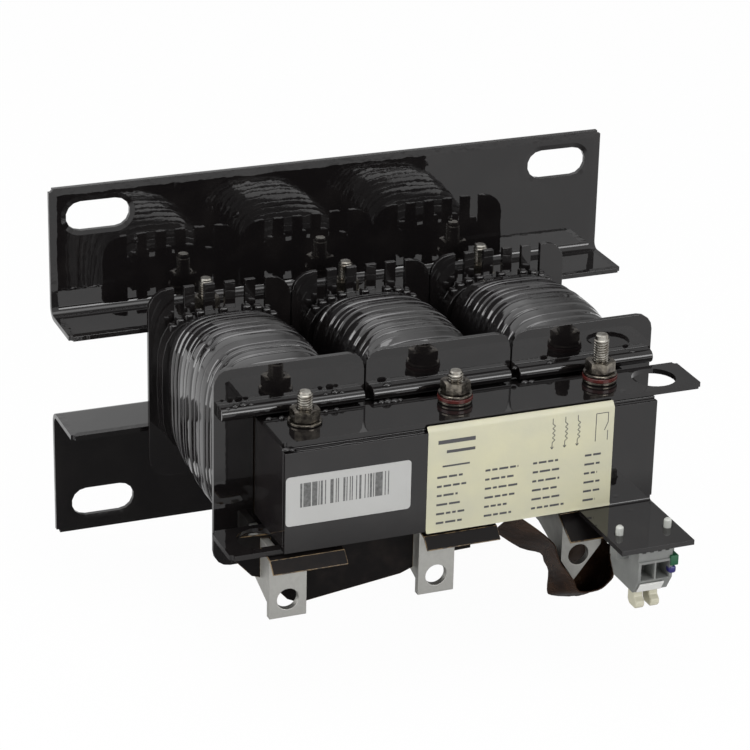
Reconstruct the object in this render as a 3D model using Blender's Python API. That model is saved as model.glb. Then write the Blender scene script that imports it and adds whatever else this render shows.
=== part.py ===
"""Detuned reactor: a three-phase iron-core choke on two panel brackets.

+X runs along the brackets, +Y points into the mounting panel and +Z is up.
The origin is on the panel face of the upper bracket, half way between its slots.
All sizes are in metres.
"""

import math

import bmesh
import bpy

# Fixing pattern on the panel
fixing_width = 0.200
fixing_height = 0.125

# Mounting brackets
bracket_margin = 0.020
bracket_sheet = 0.002
bracket_reach = 0.028
bracket_bend = 0.003
bracket_edge = 0.0125
slot_length = 0.0265
slot_width = 0.0122

# Iron core
stack_height = 0.040
limb_width = 0.030
yoke_depth = 0.031
coil_pitch = 0.060
limb_length = 0.0839
gap_spacer_thickness = 0.0012
core_standoff = 0.001

# Clearances
fit_gap = 0.0003
stack_gap = 0.0002
bore_gap = 0.0004

# Front clamp plates
plate_sheet = 0.0020
plate_depth = 0.0226
plate_overhang = 0.020
lifting_hole_diameter = 0.0172
lifting_hole_inset = 0.015
sheet_corner = 0.0015

# Clamp bolts, nuts and washers
bolt_diameter = 0.006
bolt_head_height = 0.004
nut_flats = 0.010
nut_height = 0.0045
bolt_tip_chamfer = 0.0007
rear_bolt_rise = 0.0136
front_bolt_rises = (0.0125, 0.0125, 0.0192)
front_bolt_shift = -0.0010
washer_radius = 0.0065
washer_thickness = 0.0010
insulating_washer_radius = 0.0067
insulating_washer_thickness = 0.0014

# Bobbins
bobbin_wall = 0.0015
cheek_thickness = 0.002
cheek_width = 0.0594
cheek_height = 0.0804
cheek_corner = 0.0065
front_cheek_shift = -0.0012
rear_cheek_corner = 0.0085
comb_slot_count = 5
comb_slot_pitch = 0.00845
comb_slot_width = 0.0041
comb_slot_depth = 0.0165
collar_width = 0.0528
collar_height = 0.0590
collar_depth = 0.0066
rib_width = 0.0564
rib_height = 0.0052
rib_depth = 0.0055
rib_lift = 0.0012

# Windings
winding_width = 0.0486
winding_height = 0.0620
winding_crown = 0.0054
winding_side_crown = 0.0006
winding_squareness = 3.6
turn_count = 15
turn_relief = 0.0006
section_points = 24

# Terminal flags
flag_width = 0.0148
flag_sheet = 0.003
flag_offset = 0.0092
flag_setback = 0.009
flag_top = 0.0067
flag_drop = 0.0314
flag_hole_diameter = 0.0086
flag_hole_drop = 0.0240
flag_leg_top = 0.0020
flag_leg_height = 0.0175
flag_leg_taper = 0.0060
pointed_flag_drop = 0.0361
pointed_flag_left_shoulder = 0.0269
pointed_flag_right_shoulder = 0.0219
pointed_flag_tip = 0.0058
pointed_flag_flare = 0.0021
pointed_flag_hole_drop = 0.0252

# Insulating sheets under the front yoke
flap_sheet = 0.0008
flap_seat = 0.0085
flap_hem = 0.0012
flap_margins = ((0.0040, 0.0105), (0.0030, 0.0120), (0.0059, -0.0067))
flap_slope = ((-0.0035, -0.0005), (-0.0075, -0.0045))
flap_long_slope = ((-0.0002, -0.0020), (-0.0117, -0.0084))
card_sheet = 0.0008
card_left = -0.0875
card_right = 0.0060
card_setback = 0.0060
card_skew = -0.0755
card_hem = (
    (-0.0875, 0.0092), (-0.0803, 0.0155), (-0.0663, 0.0265), (-0.0616, 0.0271),
    (-0.0220, 0.0205), (-0.0103, 0.0228), (0.0060, 0.0216),
)
card_bolt_notch = 0.0060
paper_sheet = 0.0006
paper_lead = 0.0045
paper_tail = 0.0130
paper_front_knots = (
    (-0.0234, 0.0009), (-0.0127, 0.0098), (-0.0059, 0.0166), (-0.0045, 0.0206),
    (-0.0022, 0.0263), (0.0031, 0.0334), (0.0063, 0.0394), (0.0146, 0.0400),
    (0.0190, 0.0374), (0.0212, 0.0336), (0.0191, 0.0232), (0.0214, 0.0009),
)
paper_back_knots = (
    (-0.0234, 0.0162), (-0.0117, 0.0254), (-0.0029, 0.0291), (-0.0011, 0.0330),
    (0.0010, 0.0376), (0.0008, 0.0458), (0.0030, 0.0487), (0.0136, 0.0508),
    (0.0226, 0.0487), (0.0271, 0.0412), (0.0271, 0.0232), (0.0248, 0.0009),
)

# Terminal bracket
terminal_sheet = 0.002
terminal_width = 0.030
terminal_right_inset = 0.0006
terminal_reach = 0.0392
terminal_top_drop = 0.0013
terminal_bend = 0.001
terminal_relief = 0.0008

# Terminal block, with depths behind its front and heights below its top
block_width = 0.0142
block_shift = 0.0005
block_inset = 0.0021
block_depth = 0.0250
block_height = 0.0190
block_brow_inset = 0.0006
block_brow_height = 0.0050
block_chin_rise = 0.0063
block_chin_depth = 0.0038
block_sole_depth = 0.0198
block_heel_depth = 0.0233
block_heel_height = 0.0138
entry_width = 0.0052
entry_height = 0.0065
entry_depth = 0.0080
entry_pitch = 0.00625
entry_shift = -0.0001
entry_flare = 0.0004
entry_drop = 0.0061
peg_diameter = 0.0030
peg_dome = 0.0007
peg_pitch = 0.0201
peg_rise = 0.0036
peg_setback = 0.01365
foot_margin = 0.0020
foot_depth = 0.0060
foot_height = 0.0067
notch_size = 0.0016
notch_pitch = 0.0032
notch_count = 4
marker_width = 0.0100
marker_shift = -0.0010
marker_start = 0.0015
marker_end = 0.0062
marker_sheet = 0.0006

# Release levers, which slide up into pockets in the block
lever_width = 0.0037
lever_ankle_front = 0.0063
lever_back = 0.0116
lever_tail = 0.0030
lever_ankle_height = 0.0033
lever_toe_front = 0.0043
lever_toe_top = 0.0049
lever_toe_side = 0.0067
lever_height = 0.0079
lever_toe_corner = 0.0010
lever_heel_corner = 0.0016
lever_travel = 0.0012

# Places worked out from the sizes above
bracket_length = fixing_width + 2 * bracket_margin
core_z = -fixing_height / 2
bolt_columns = (-coil_pitch, 0.0, coil_pitch)
half_stack = stack_height / 2
core_half_width = coil_pitch + limb_width / 2
rear_yoke_back = -core_standoff
rear_yoke_front = rear_yoke_back - yoke_depth
limb_back = rear_yoke_front - fit_gap
limb_front = limb_back - limb_length
spacer_back = limb_front - fit_gap
spacer_front = spacer_back - gap_spacer_thickness
front_yoke_back = spacer_front - fit_gap
front_face = front_yoke_back - yoke_depth
rear_bolt_y = rear_yoke_back - yoke_depth / 2
front_bolt_y = front_yoke_back - yoke_depth / 2
sheet_bed = half_stack + fit_gap
bracket_top = sheet_bed + bracket_sheet
plate_top = sheet_bed + plate_sheet
bolt_hole_radius = bolt_diameter / 2 + bore_gap
flag_face = front_face + flag_setback
under_plate = core_z - plate_top
round_segments = 18


def clear_scene():
    for item in list(bpy.data.objects):
        bpy.data.objects.remove(item, do_unlink=True)


def make_material(name, colour, roughness, metallic=0.0):
    material = bpy.data.materials.new(name)
    material.use_nodes = True
    shader = material.node_tree.nodes["Principled BSDF"]
    shader.inputs["Base Color"].default_value = (*colour, 1.0)
    shader.inputs["Roughness"].default_value = roughness
    shader.inputs["Metallic"].default_value = metallic
    return material


def make_object(name, mesh_data, material=None):
    """Turn a bmesh into a named object with its faces pointing out."""
    bmesh.ops.recalc_face_normals(mesh_data, faces=mesh_data.faces)
    mesh = bpy.data.meshes.new(name)
    mesh_data.to_mesh(mesh)
    mesh_data.free()
    item = bpy.data.objects.new(name, mesh)
    bpy.context.scene.collection.objects.link(item)
    if material is not None:
        mesh.materials.append(material)
        mesh.shade_smooth()
        mesh.set_sharp_from_angle(angle=math.radians(35))
    return item


def boolean(target, tool, operation):
    """Apply an exact boolean to the target and remove the tool."""
    modifier = target.modifiers.new("Boolean", "BOOLEAN")
    modifier.operation = operation
    modifier.solver = "EXACT"
    modifier.object = tool
    graph = bpy.context.evaluated_depsgraph_get()
    result = bpy.data.meshes.new_from_object(target.evaluated_get(graph))
    target.modifiers.clear()
    target.data = result
    bpy.data.objects.remove(tool, do_unlink=True)


def cut(target, *tools):
    for tool in tools:
        boolean(target, tool, "DIFFERENCE")


def fuse(target, *tools):
    for tool in tools:
        boolean(target, tool, "UNION")


def arc(centre, radius, start, end, steps):
    """Points of an arc in a plane, with its angles in degrees."""
    points = []
    for step in range(steps + 1):
        angle = math.radians(start + (end - start) * step / steps)
        points.append((centre[0] + radius * math.cos(angle), centre[1] + radius * math.sin(angle)))
    return points


def rounded_rectangle(centre, width, height, radius, steps=4):
    x, y = centre
    a = width / 2 - radius
    b = height / 2 - radius
    outline = arc((x + a, y + b), radius, 0, 90, steps)
    outline += arc((x - a, y + b), radius, 90, 180, steps)
    outline += arc((x - a, y - b), radius, 180, 270, steps)
    outline += arc((x + a, y - b), radius, 270, 360, steps)
    return outline


def squared_oval(centre, half_width, half_height, points, squareness):
    """A superellipse, from a full ellipse at 2 towards a rectangle."""
    outline = []
    power = 2 / squareness
    for step in range(points):
        angle = math.tau * step / points
        c, s = math.cos(angle), math.sin(angle)
        outline.append((
            centre[0] + half_width * math.copysign(abs(c) ** power, c),
            centre[1] + half_height * math.copysign(abs(s) ** power, s),
        ))
    return outline


def place(axis, u, v, w):
    """A point from two in-plane values and one along the axis."""
    if axis == "X":
        return (w, u, v)
    if axis == "Y":
        return (u, w, v)
    return (u, v, w)


def prism(name, outline, axis, low, high, material=None):
    """Extrude a closed outline along an axis between two values."""
    data = bmesh.new()
    corners = [data.verts.new(place(axis, u, v, low)) for u, v in outline]
    face = data.faces.new(corners)
    sweep = bmesh.ops.extrude_face_region(data, geom=[face])
    moved = [item for item in sweep["geom"] if isinstance(item, bmesh.types.BMVert)]
    bmesh.ops.translate(data, verts=moved, vec=place(axis, 0.0, 0.0, high - low))
    return make_object(name, data, material)


def block(name, low, high, material=None):
    outline = [(low[0], low[1]), (high[0], low[1]), (high[0], high[1]), (low[0], high[1])]
    return prism(name, outline, "Z", low[2], high[2], material)


def rod(name, x, y, radius, low, high, material=None, segments=round_segments):
    return prism(name, arc((x, y), radius, 0, 360, segments)[:-1], "Z", low, high, material)


def loft(name, rings, material=None, closed=False):
    """Skin rings of equal length, with flat ends or joined into a loop."""
    data = bmesh.new()
    rows = [[data.verts.new(point) for point in ring] for ring in rings]
    count = len(rows[0])
    pairs = list(zip(rows, rows[1:]))
    if closed:
        pairs.append((rows[-1], rows[0]))
    for lower, upper in pairs:
        for i in range(count):
            j = (i + 1) % count
            data.faces.new((lower[i], lower[j], upper[j], upper[i]))
    if not closed:
        data.faces.new(rows[0][::-1])
        data.faces.new(rows[-1])
    return make_object(name, data, material)


def sheet_along(path, thickness):
    """The outline of a thin sheet whose one side follows the path."""
    offset = []
    for index, point in enumerate(path):
        before = path[max(index - 1, 0)]
        after = path[min(index + 1, len(path) - 1)]
        along = (after[0] - before[0], after[1] - before[1])
        length = math.hypot(*along)
        offset.append((
            point[0] + thickness * along[1] / length,
            point[1] - thickness * along[0] / length,
        ))
    return list(path) + offset[::-1]


def smooth_path(knots, steps):
    """A smooth curve through every knot."""
    points = []
    last = len(knots) - 1
    for index in range(last):
        a = knots[max(index - 1, 0)]
        b = knots[index]
        c = knots[index + 1]
        d = knots[min(index + 2, last)]
        for step in range(steps):
            t = step / steps
            points.append(tuple(
                0.5 * (2 * q + (r - p) * t + (2 * p - 5 * q + 4 * r - s) * t ** 2
                       + (3 * q - p - 3 * r + s) * t ** 3)
                for p, q, r, s in zip(a, b, c, d)
            ))
    points.append(knots[-1])
    return points


def round_sheet_corners(item, corners, axis):
    """Round the free corners of a sheet, given in the plane across the axis."""
    data = bmesh.new()
    data.from_mesh(item.data)
    first, second = {"X": (1, 2), "Y": (0, 2), "Z": (0, 1)}[axis]
    near = bracket_sheet / 10
    edges = []
    for edge in data.edges:
        for u, v in corners:
            if all(math.hypot(end.co[first] - u, end.co[second] - v) < near for end in edge.verts):
                edges.append(edge)
    bmesh.ops.bevel(data, geom=edges, offset=sheet_corner, segments=3, affect="EDGES")
    data.to_mesh(item.data)
    data.free()


def build_bracket(name, side, material):
    """An angle bracket; side is 1 for the upper one and -1 for the lower one."""
    bed = sheet_bed
    outer = bracket_bend + bracket_sheet
    edge = fixing_height / 2 + bracket_edge
    profile = [(-bracket_reach, bed)]
    profile += arc((-outer, bed + outer), outer, -90, 0, 5)
    profile += [(0.0, edge), (-bracket_sheet, edge)]
    profile += arc((-outer, bed + outer), bracket_bend, 0, -90, 5)
    profile += [(-bracket_reach, bed + bracket_sheet)]
    profile = [(y, core_z + side * z) for y, z in profile]
    half = bracket_length / 2
    bracket = prism(name, profile, "X", -half, half, material)
    round_sheet_corners(bracket, [(-half, core_z + side * edge), (half, core_z + side * edge)], "Y")
    round_sheet_corners(bracket, [(-half, -bracket_reach), (half, -bracket_reach)], "Z")
    straight = (slot_length - slot_width) / 2
    for x in (-fixing_width / 2, fixing_width / 2):
        z = core_z + side * fixing_height / 2
        slot = arc((x + straight, z), slot_width / 2, -90, 90, 7)
        slot += arc((x - straight, z), slot_width / 2, 90, 270, 7)
        cut(bracket, prism("slot", slot, "Y", -2 * bracket_sheet, bracket_sheet))
    for x in bolt_columns:
        low = core_z + min(side * bed, side * bracket_top) - bracket_sheet
        high = core_z + max(side * bed, side * bracket_top) + bracket_sheet
        cut(bracket, rod("hole", x, rear_bolt_y, bolt_hole_radius, low, high))


def build_core(iron, spacer):
    low = core_z - half_stack
    high = core_z + half_stack
    yokes = (
        ("rear_yoke", rear_yoke_front, rear_yoke_back, rear_bolt_y, 0.0),
        ("front_yoke", front_face, front_yoke_back, front_bolt_y, front_bolt_shift),
    )
    for name, front, back, bolt_y, shift in yokes:
        yoke = block(name, (-core_half_width, front, low), (core_half_width, back, high), iron)
        for x in bolt_columns:
            below = low - plate_sheet
            above = high + plate_sheet
            cut(yoke, rod("hole", x + shift, bolt_y, bolt_hole_radius, below, above))
    for label, x in zip("abc", bolt_columns):
        half = limb_width / 2
        block("core_limb_" + label, (x - half, limb_front, low), (x + half, limb_back, high), iron)
        block("gap_spacer_" + label, (x - half, spacer_front, low), (x + half, spacer_back, high), spacer)


def build_clamp_plates(material):
    back = front_face + plate_depth
    middle = (front_face + back) / 2
    plates = (
        ("top_clamp_plate", sheet_bed, plate_top, 1),
        ("bottom_clamp_plate", -plate_top, -sheet_bed, -1),
    )
    for name, low, high, side in plates:
        ends = sorted((-side * core_half_width, side * (core_half_width + plate_overhang)))
        corners = [(x, y) for x in ends for y in (front_face, back)]
        plate = block(name, (ends[0], front_face, core_z + low), (ends[1], back, core_z + high), material)
        round_sheet_corners(plate, corners, "Z")
        below = core_z + low - plate_sheet
        above = core_z + high + plate_sheet
        lifting_x = side * (core_half_width + plate_overhang - lifting_hole_inset)
        cut(plate, rod("hole", lifting_x, middle, lifting_hole_diameter / 2, below, above, segments=24))
        for x in bolt_columns:
            bolt_x = x + front_bolt_shift
            cut(plate, rod("hole", bolt_x, front_bolt_y, bolt_hole_radius, below, above))


def polygon_radius(flats, angle):
    """Distance from the middle to the side of a hexagon at an angle."""
    turn = math.radians(60)
    return flats / 2 / math.cos((angle % turn) - turn / 2)


def ring_points(x, y, z, radius=None, flats=None):
    """A ring of points, round or hexagonal, at one height."""
    points = []
    for step in range(round_segments):
        angle = math.tau * step / round_segments
        reach = radius if flats is None else polygon_radius(flats, angle)
        points.append((x + reach * math.cos(angle), y + reach * math.sin(angle), z))
    return points


def build_bolt(name, x, y, head_bottom, tip, material):
    shoulder = head_bottom + bolt_head_height
    radius = bolt_diameter / 2
    rings = [
        ring_points(x, y, head_bottom, flats=nut_flats),
        ring_points(x, y, shoulder, flats=nut_flats),
        ring_points(x, y, shoulder, radius=radius),
        ring_points(x, y, tip - bolt_tip_chamfer, radius=radius),
        ring_points(x, y, tip, radius=radius - bolt_tip_chamfer),
    ]
    loft(name, rings, material)


def build_nut(name, x, y, bottom, material):
    bore = bolt_hole_radius
    face = nut_flats / 2
    rise = nut_height / 10
    rings = [
        ring_points(x, y, bottom, radius=bore),
        ring_points(x, y, bottom, radius=face),
        ring_points(x, y, bottom + rise, flats=nut_flats),
        ring_points(x, y, bottom + nut_height - rise, flats=nut_flats),
        ring_points(x, y, bottom + nut_height, radius=face),
        ring_points(x, y, bottom + nut_height, radius=bore),
    ]
    loft(name, rings, material, closed=True)


def build_washer(name, x, y, bottom, radius, thickness, material):
    rings = [
        ring_points(x, y, bottom, radius=bolt_hole_radius),
        ring_points(x, y, bottom, radius=radius),
        ring_points(x, y, bottom + thickness, radius=radius),
        ring_points(x, y, bottom + thickness, radius=bolt_hole_radius),
    ]
    loft(name, rings, material, closed=True)


def build_bolt_stack(label, x, y, bed, rise, insulated, steel, fibre):
    """One clamp bolt from below, with its washers and its nut on top."""
    level = core_z + bed + stack_gap
    pieces = [("washer_top_", washer_radius, washer_thickness, steel)]
    if insulated:
        pieces = [
            ("washer_base_", washer_radius, washer_thickness, steel),
            ("insulating_washer_", insulating_washer_radius, insulating_washer_thickness, fibre),
            ("washer_top_", washer_radius, washer_thickness, steel),
        ]
    for name, radius, thickness, material in pieces:
        build_washer(name + label, x, y, level, radius, thickness, material)
        level += thickness + stack_gap
    build_nut("clamp_nut_" + label, x, y, level, steel)
    seat = core_z - bed - stack_gap - washer_thickness
    build_washer("washer_bottom_" + label, x, y, seat, washer_radius, washer_thickness, steel)
    head_bottom = seat - stack_gap - bolt_head_height
    build_bolt("clamp_bolt_" + label, x, y, head_bottom, core_z + bed + rise, steel)


def build_bobbin(label, x, flag_leg_x, material):
    """One moulded bobbin: tube, plain front cheek with its rib, and combed rear cheek."""
    rear_back = rear_yoke_front - fit_gap
    rear_front = rear_back - cheek_thickness
    front_front = front_yoke_back + fit_gap
    front_back = front_front + cheek_thickness
    middle = (x, core_z)
    bore_width = limb_width + 2 * bore_gap
    bore_height = stack_height + 2 * bore_gap
    tube_width = bore_width + 2 * bobbin_wall
    tube_height = bore_height + 2 * bobbin_wall

    outline = rounded_rectangle(middle, cheek_width, cheek_height, rear_cheek_corner)
    bobbin = prism("bobbin_" + label, outline, "Y", rear_front, rear_back, material)
    comb_bottom = core_z + cheek_height / 2 - comb_slot_depth
    for index in range(comb_slot_count):
        slot_x = x + (index - (comb_slot_count - 1) / 2) * comb_slot_pitch
        low = (slot_x - comb_slot_width / 2, rear_front - cheek_thickness, comb_bottom)
        high = (slot_x + comb_slot_width / 2, rear_back + cheek_thickness, core_z + cheek_height)
        cut(bobbin, block("comb_slot", low, high))
    overlap = cheek_thickness / 4
    collar = squared_oval(middle, collar_width / 2, collar_height / 2, section_points, winding_squareness)
    collar_front = rear_front - collar_depth
    fuse(bobbin, prism("collar", collar, "Y", collar_front, rear_front + overlap))
    tube = rounded_rectangle(middle, tube_width, tube_height, bobbin_wall, 2)
    fuse(bobbin, prism("tube", tube, "Y", front_front + overlap, rear_front + overlap))
    cheek_x = x + front_cheek_shift
    outline = rounded_rectangle((cheek_x, core_z), cheek_width, cheek_height, cheek_corner)
    cheek = prism("front_cheek", outline, "Y", front_front, front_back)
    rib_low = core_z + half_stack + rib_lift
    rib = arc((front_front - rib_depth + rib_height / 2, rib_low + rib_height / 2), rib_height / 2, 90, 270, 6)
    rib += [(front_front + overlap, rib_low), (front_front + overlap, rib_low + rib_height)]
    fuse(cheek, prism("rib", rib, "X", cheek_x - rib_width / 2, cheek_x + rib_width / 2))
    fuse(bobbin, cheek)
    bore = rounded_rectangle(middle, bore_width, bore_height, bore_gap, 1)
    cut(bobbin, prism("bore", bore, "Y", front_front - cheek_thickness, rear_back + cheek_thickness))
    notch_top = under_plate - flag_leg_top + bore_gap
    notch_low = (flag_leg_x - bore_gap, front_front - cheek_thickness, core_z - cheek_height)
    notch_high = (flag_leg_x + flag_sheet + bore_gap, front_back + cheek_thickness, notch_top)
    cut(bobbin, block("lead_notch", notch_low, notch_high))
    return collar_front - fit_gap, front_back + fit_gap


def build_winding(label, x, back, front, material):
    """A crowned winding whose rounded turns stand out as ridges."""
    bore_width = limb_width + 2 * (bore_gap + bobbin_wall + fit_gap)
    bore_height = stack_height + 2 * (bore_gap + bobbin_wall + fit_gap)
    rows = 2 * turn_count + 1
    rings = []
    for row in range(rows):
        share = row / (rows - 1)
        y = back + (front - back) * share
        swell = 1 - (2 * share - 1) ** 2
        relief = turn_relief if row % 2 else 0.0
        half_width = winding_width / 2 + winding_side_crown * swell + relief
        half_height = winding_height / 2 + winding_crown * swell + relief
        section = squared_oval((x, core_z), half_width, half_height, section_points, winding_squareness)
        rings.append([(u, y, v) for u, v in section])
    bore = squared_oval((x, core_z), bore_width / 2, bore_height / 2, section_points, 40)
    rings.append([(u, front, v) for u, v in bore])
    rings.append([(u, back, v) for u, v in bore])
    loft("winding_" + label, rings, material, closed=True)


def flag_hole(x, drop):
    outline = arc((x, under_plate - drop), flag_hole_diameter / 2, 0, 360, 24)[:-1]
    return prism("hole", outline, "Y", flag_face - flag_sheet, flag_face + 2 * flag_sheet)


def build_flag(label, x, winding_end, material):
    """A terminal flag: a drilled blade to the front and a leg back to the winding."""
    left = x - flag_width / 2
    right = x + flag_width / 2
    top = under_plate - flag_top
    if label == "c":
        right += pointed_flag_flare
        blade = [
            (left, top),
            (left, under_plate - pointed_flag_left_shoulder),
            (left + pointed_flag_tip, under_plate - pointed_flag_drop),
            (right, under_plate - pointed_flag_right_shoulder),
            (right, top),
        ]
        hole = flag_hole(x, pointed_flag_hole_drop)
    else:
        foot = under_plate - flag_drop
        blade = [(left, top), (left, foot), (right, foot), (right, top)]
        hole = flag_hole(x, flag_hole_drop)
    flag = prism("terminal_flag_" + label, blade, "Y", flag_face, flag_face + flag_sheet, material)
    leg_top = under_plate - flag_leg_top
    leg_foot = leg_top - flag_leg_height
    toe = leg_foot - flag_leg_taper
    back = winding_end - fit_gap
    leg = [
        (flag_face, leg_top),
        (flag_face, toe),
        (flag_face + flag_sheet, toe),
        (front_yoke_back, leg_foot),
        (back, leg_foot),
        (back, leg_top),
    ]
    fuse(flag, prism("leg", leg, "X", left, left + flag_sheet))
    cut(flag, hole)


def build_flap(label, left, right, path, material):
    """A strip of insulating board that bends down over a flag, seated under the clamp plate."""
    seat = under_plate - fit_gap
    bend = front_face + flap_hem
    line = [(front_face + flap_seat, seat), (bend, seat)]
    line += [(bend + y, seat + z) for y, z in path]
    outline = sheet_along(line, -flap_sheet)
    prism("insulating_flap_" + label, outline, "X", left, right, material)


def build_flaps(material):
    """Two short flaps over the plain flags and a long one over the pointed flag."""
    for label, column, margins in zip("abc", bolt_columns, flap_margins):
        x = column - flag_offset
        left = x - flag_width / 2 - margins[0]
        right = x + flag_width / 2 + margins[1]
        build_flap(label, left, right, flap_long_slope if label == "c" else flap_slope, material)


def build_card(material):
    """The insulating card that hangs askew behind the first two flags, notched for the bolt heads."""
    top = under_plate - fit_gap
    front = flag_face + card_setback + flag_sheet
    profile = [(card_left, top)] + [(x, under_plate - drop) for x, drop in card_hem] + [(card_right, top)]
    card = prism("insulating_card", profile, "Y", front, front + card_sheet, material)
    leg_x = -coil_pitch - flag_offset - flag_width / 2
    for vertex in card.data.vertices:
        vertex.co.y += card_skew * (vertex.co.x - leg_x)
    ahead = flag_face
    behind = front_yoke_back
    for column in bolt_columns[:2]:
        x = column - flag_offset - flag_width / 2
        leg_top = under_plate - flag_leg_top
        leg_foot = leg_top - flag_leg_height - flag_leg_taper - bore_gap
        low = (x - bore_gap, ahead, leg_foot)
        high = (x + flag_sheet + bore_gap, behind, leg_top + bore_gap)
        cut(card, block("leg_slot", low, high))
        bolt_x = column + front_bolt_shift
        reach = washer_radius + 2 * bore_gap
        low = (bolt_x - reach, ahead, under_plate - card_bolt_notch)
        cut(card, block("bolt_notch", low, (bolt_x + reach, behind, under_plate)))


def build_paper(material):
    """The varnished paper sleeve that loops under the third flag and hangs deeper at its back."""
    left = coil_pitch - flag_offset - flag_width / 2
    rings = []
    for knots, y in ((paper_back_knots, paper_tail), (paper_front_knots, -paper_lead)):
        places = [(left + across, under_plate - drop) for across, drop in knots]
        outline = sheet_along(smooth_path(places, 3), -paper_sheet)
        rings.append([(x, flag_face + y, z) for x, z in outline])
    loft("insulating_paper", rings, material)


def build_terminal_bracket(material):
    """A front sheet over the whole core, bent out at its lower right into a shelf for the block."""
    right = core_half_width - terminal_right_inset
    left = right - terminal_width
    back = front_face - fit_gap
    front = back - terminal_sheet
    edge = back - terminal_reach
    low = under_plate - terminal_sheet
    outer = terminal_bend + terminal_sheet
    hem = low + outer
    top = core_z + sheet_bed - terminal_top_drop
    profile = [(back, top), (front, top)]
    profile += arc((front - terminal_bend, hem), terminal_bend, 0, -90, 3)
    profile += [(edge, under_plate), (edge, low)]
    profile += arc((back - outer, hem), outer, -90, 0, 4)
    bracket = prism("terminal_bracket", profile, "X", -core_half_width, core_half_width, material)
    trims = (
        (-core_half_width - terminal_relief, left, hem),
        (left - terminal_relief, left, hem + terminal_relief),
        (right, core_half_width + terminal_relief, hem + terminal_relief),
    )
    for start, end, height in trims:
        low_corner = (start, edge - terminal_sheet, low - terminal_sheet)
        cut(bracket, block("trim", low_corner, (end, back + terminal_sheet, height)))
    centre = right - terminal_width / 2 + block_shift
    for side in (-1, 1):
        x = centre + side * peg_pitch / 2
        radius = peg_diameter / 2 + bore_gap
        low_end = low - terminal_sheet
        cut(bracket, rod("hole", x, edge + peg_setback, radius, low_end, under_plate + terminal_sheet))
    return centre, edge, low


def build_peg(x, y, low, top):
    """A round peg with a domed end."""
    radius = peg_diameter / 2
    rings = []
    for r, z in ((radius, low), (radius, top - peg_dome), (radius - peg_dome, top)):
        rings.append(ring_points(x, y, z, radius=r)[::2])
    return loft("peg", rings)


def build_terminal_block(centre, edge, bed, housing, ivory, white):
    """Two-way spring terminal block, pegged under the terminal bracket, with two release levers."""
    top = bed - fit_gap
    front = edge + block_inset
    half = block_width / 2
    side_view = (
        (block_brow_inset, 0.0),
        (block_brow_inset, block_brow_height - block_brow_inset / 2),
        (0.0, block_brow_height),
        (0.0, block_height - block_chin_rise),
        (block_chin_depth, block_height),
        (block_sole_depth, block_height),
        (block_heel_depth, block_heel_height),
        (block_depth, 0.0),
    )
    outline = [(front + depth, top - drop) for depth, drop in side_view]
    item = prism("terminal_block", outline, "X", centre - half, centre + half, housing)
    peg_y = edge + peg_setback
    foot_half = peg_pitch / 2 + foot_margin
    foot_low = (centre - foot_half, peg_y - foot_depth / 2, top - foot_height)
    fuse(item, block("foot", foot_low, (centre + foot_half, peg_y + foot_depth / 2, top)))
    for index in range(notch_count):
        x = centre + (index - (notch_count - 1) / 2) * notch_pitch
        low = (x - notch_size / 2, front - notch_size, top - notch_size)
        cut(item, block("notch", low, (x + notch_size / 2, front + notch_size, top + notch_size)))
    entry_z = top - entry_drop - entry_height / 2
    for side in (-1, 1):
        x = centre + entry_shift + side * entry_pitch / 2
        rings = []
        for depth, grow in ((-entry_flare, entry_flare * 2), (entry_flare, 0.0), (entry_depth, 0.0)):
            a = entry_width / 2 + grow / 2
            b = entry_height / 2 + grow / 2
            corners = (
                (x - a, entry_z - b), (x + a, entry_z - b), (x + a, entry_z + b), (x - a, entry_z + b),
            )
            rings.append([(u, front + depth, v) for u, v in corners])
        cut(item, loft("entry", rings))
        peg_x = centre + side * peg_pitch / 2
        fuse(item, build_peg(peg_x, peg_y, top - foot_height / 2, under_plate + peg_rise))
    build_marker(centre, front, top, white)
    for label, side in (("a", -1), ("b", 1)):
        x = centre + entry_shift + side * entry_pitch / 2
        build_lever(label, x, front, top - block_height, item, ivory)


def build_marker(centre, front, top, material):
    """The marker strip on the block's sloping chin."""
    start = (front, top - block_height + block_chin_rise)
    length = math.hypot(block_chin_depth, block_chin_rise)
    along = (block_chin_depth / length, -block_chin_rise / length)
    face = fit_gap + marker_sheet
    strip = []
    for travel, lift in (
        (marker_start, fit_gap), (marker_end, fit_gap), (marker_end, face), (marker_start, face),
    ):
        strip.append((
            start[0] + along[0] * travel + along[1] * lift,
            start[1] + along[1] * travel - along[0] * lift,
        ))
    x = centre + marker_shift
    prism("marker_strip", strip, "X", x - marker_width / 2, x + marker_width / 2, material)


def build_lever(label, x, front, sole, housing, material):
    """A boot-shaped release lever, with its shank in a pocket that leaves it room to be pushed in."""
    half = lever_width / 2 + fit_gap
    low = (x - half, front + lever_ankle_front - fit_gap, sole - lever_travel)
    high = (x + half, front + lever_back + fit_gap, sole + lever_tail + lever_travel + fit_gap)
    cut(housing, block("pocket", low, high))
    side_view = (
        (lever_back, -lever_tail),
        (lever_ankle_front, -lever_tail),
        (lever_ankle_front, lever_ankle_height),
        (lever_toe_front, lever_toe_top),
        (lever_toe_front, lever_toe_side),
        (lever_toe_front + lever_toe_corner, lever_height),
        (lever_back - lever_heel_corner, lever_height),
        (lever_back, lever_height - lever_heel_corner),
    )
    outline = [(front + depth, sole - drop) for depth, drop in side_view]
    prism("release_lever_" + label, outline, "X", x - lever_width / 2, x + lever_width / 2, material)


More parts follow.
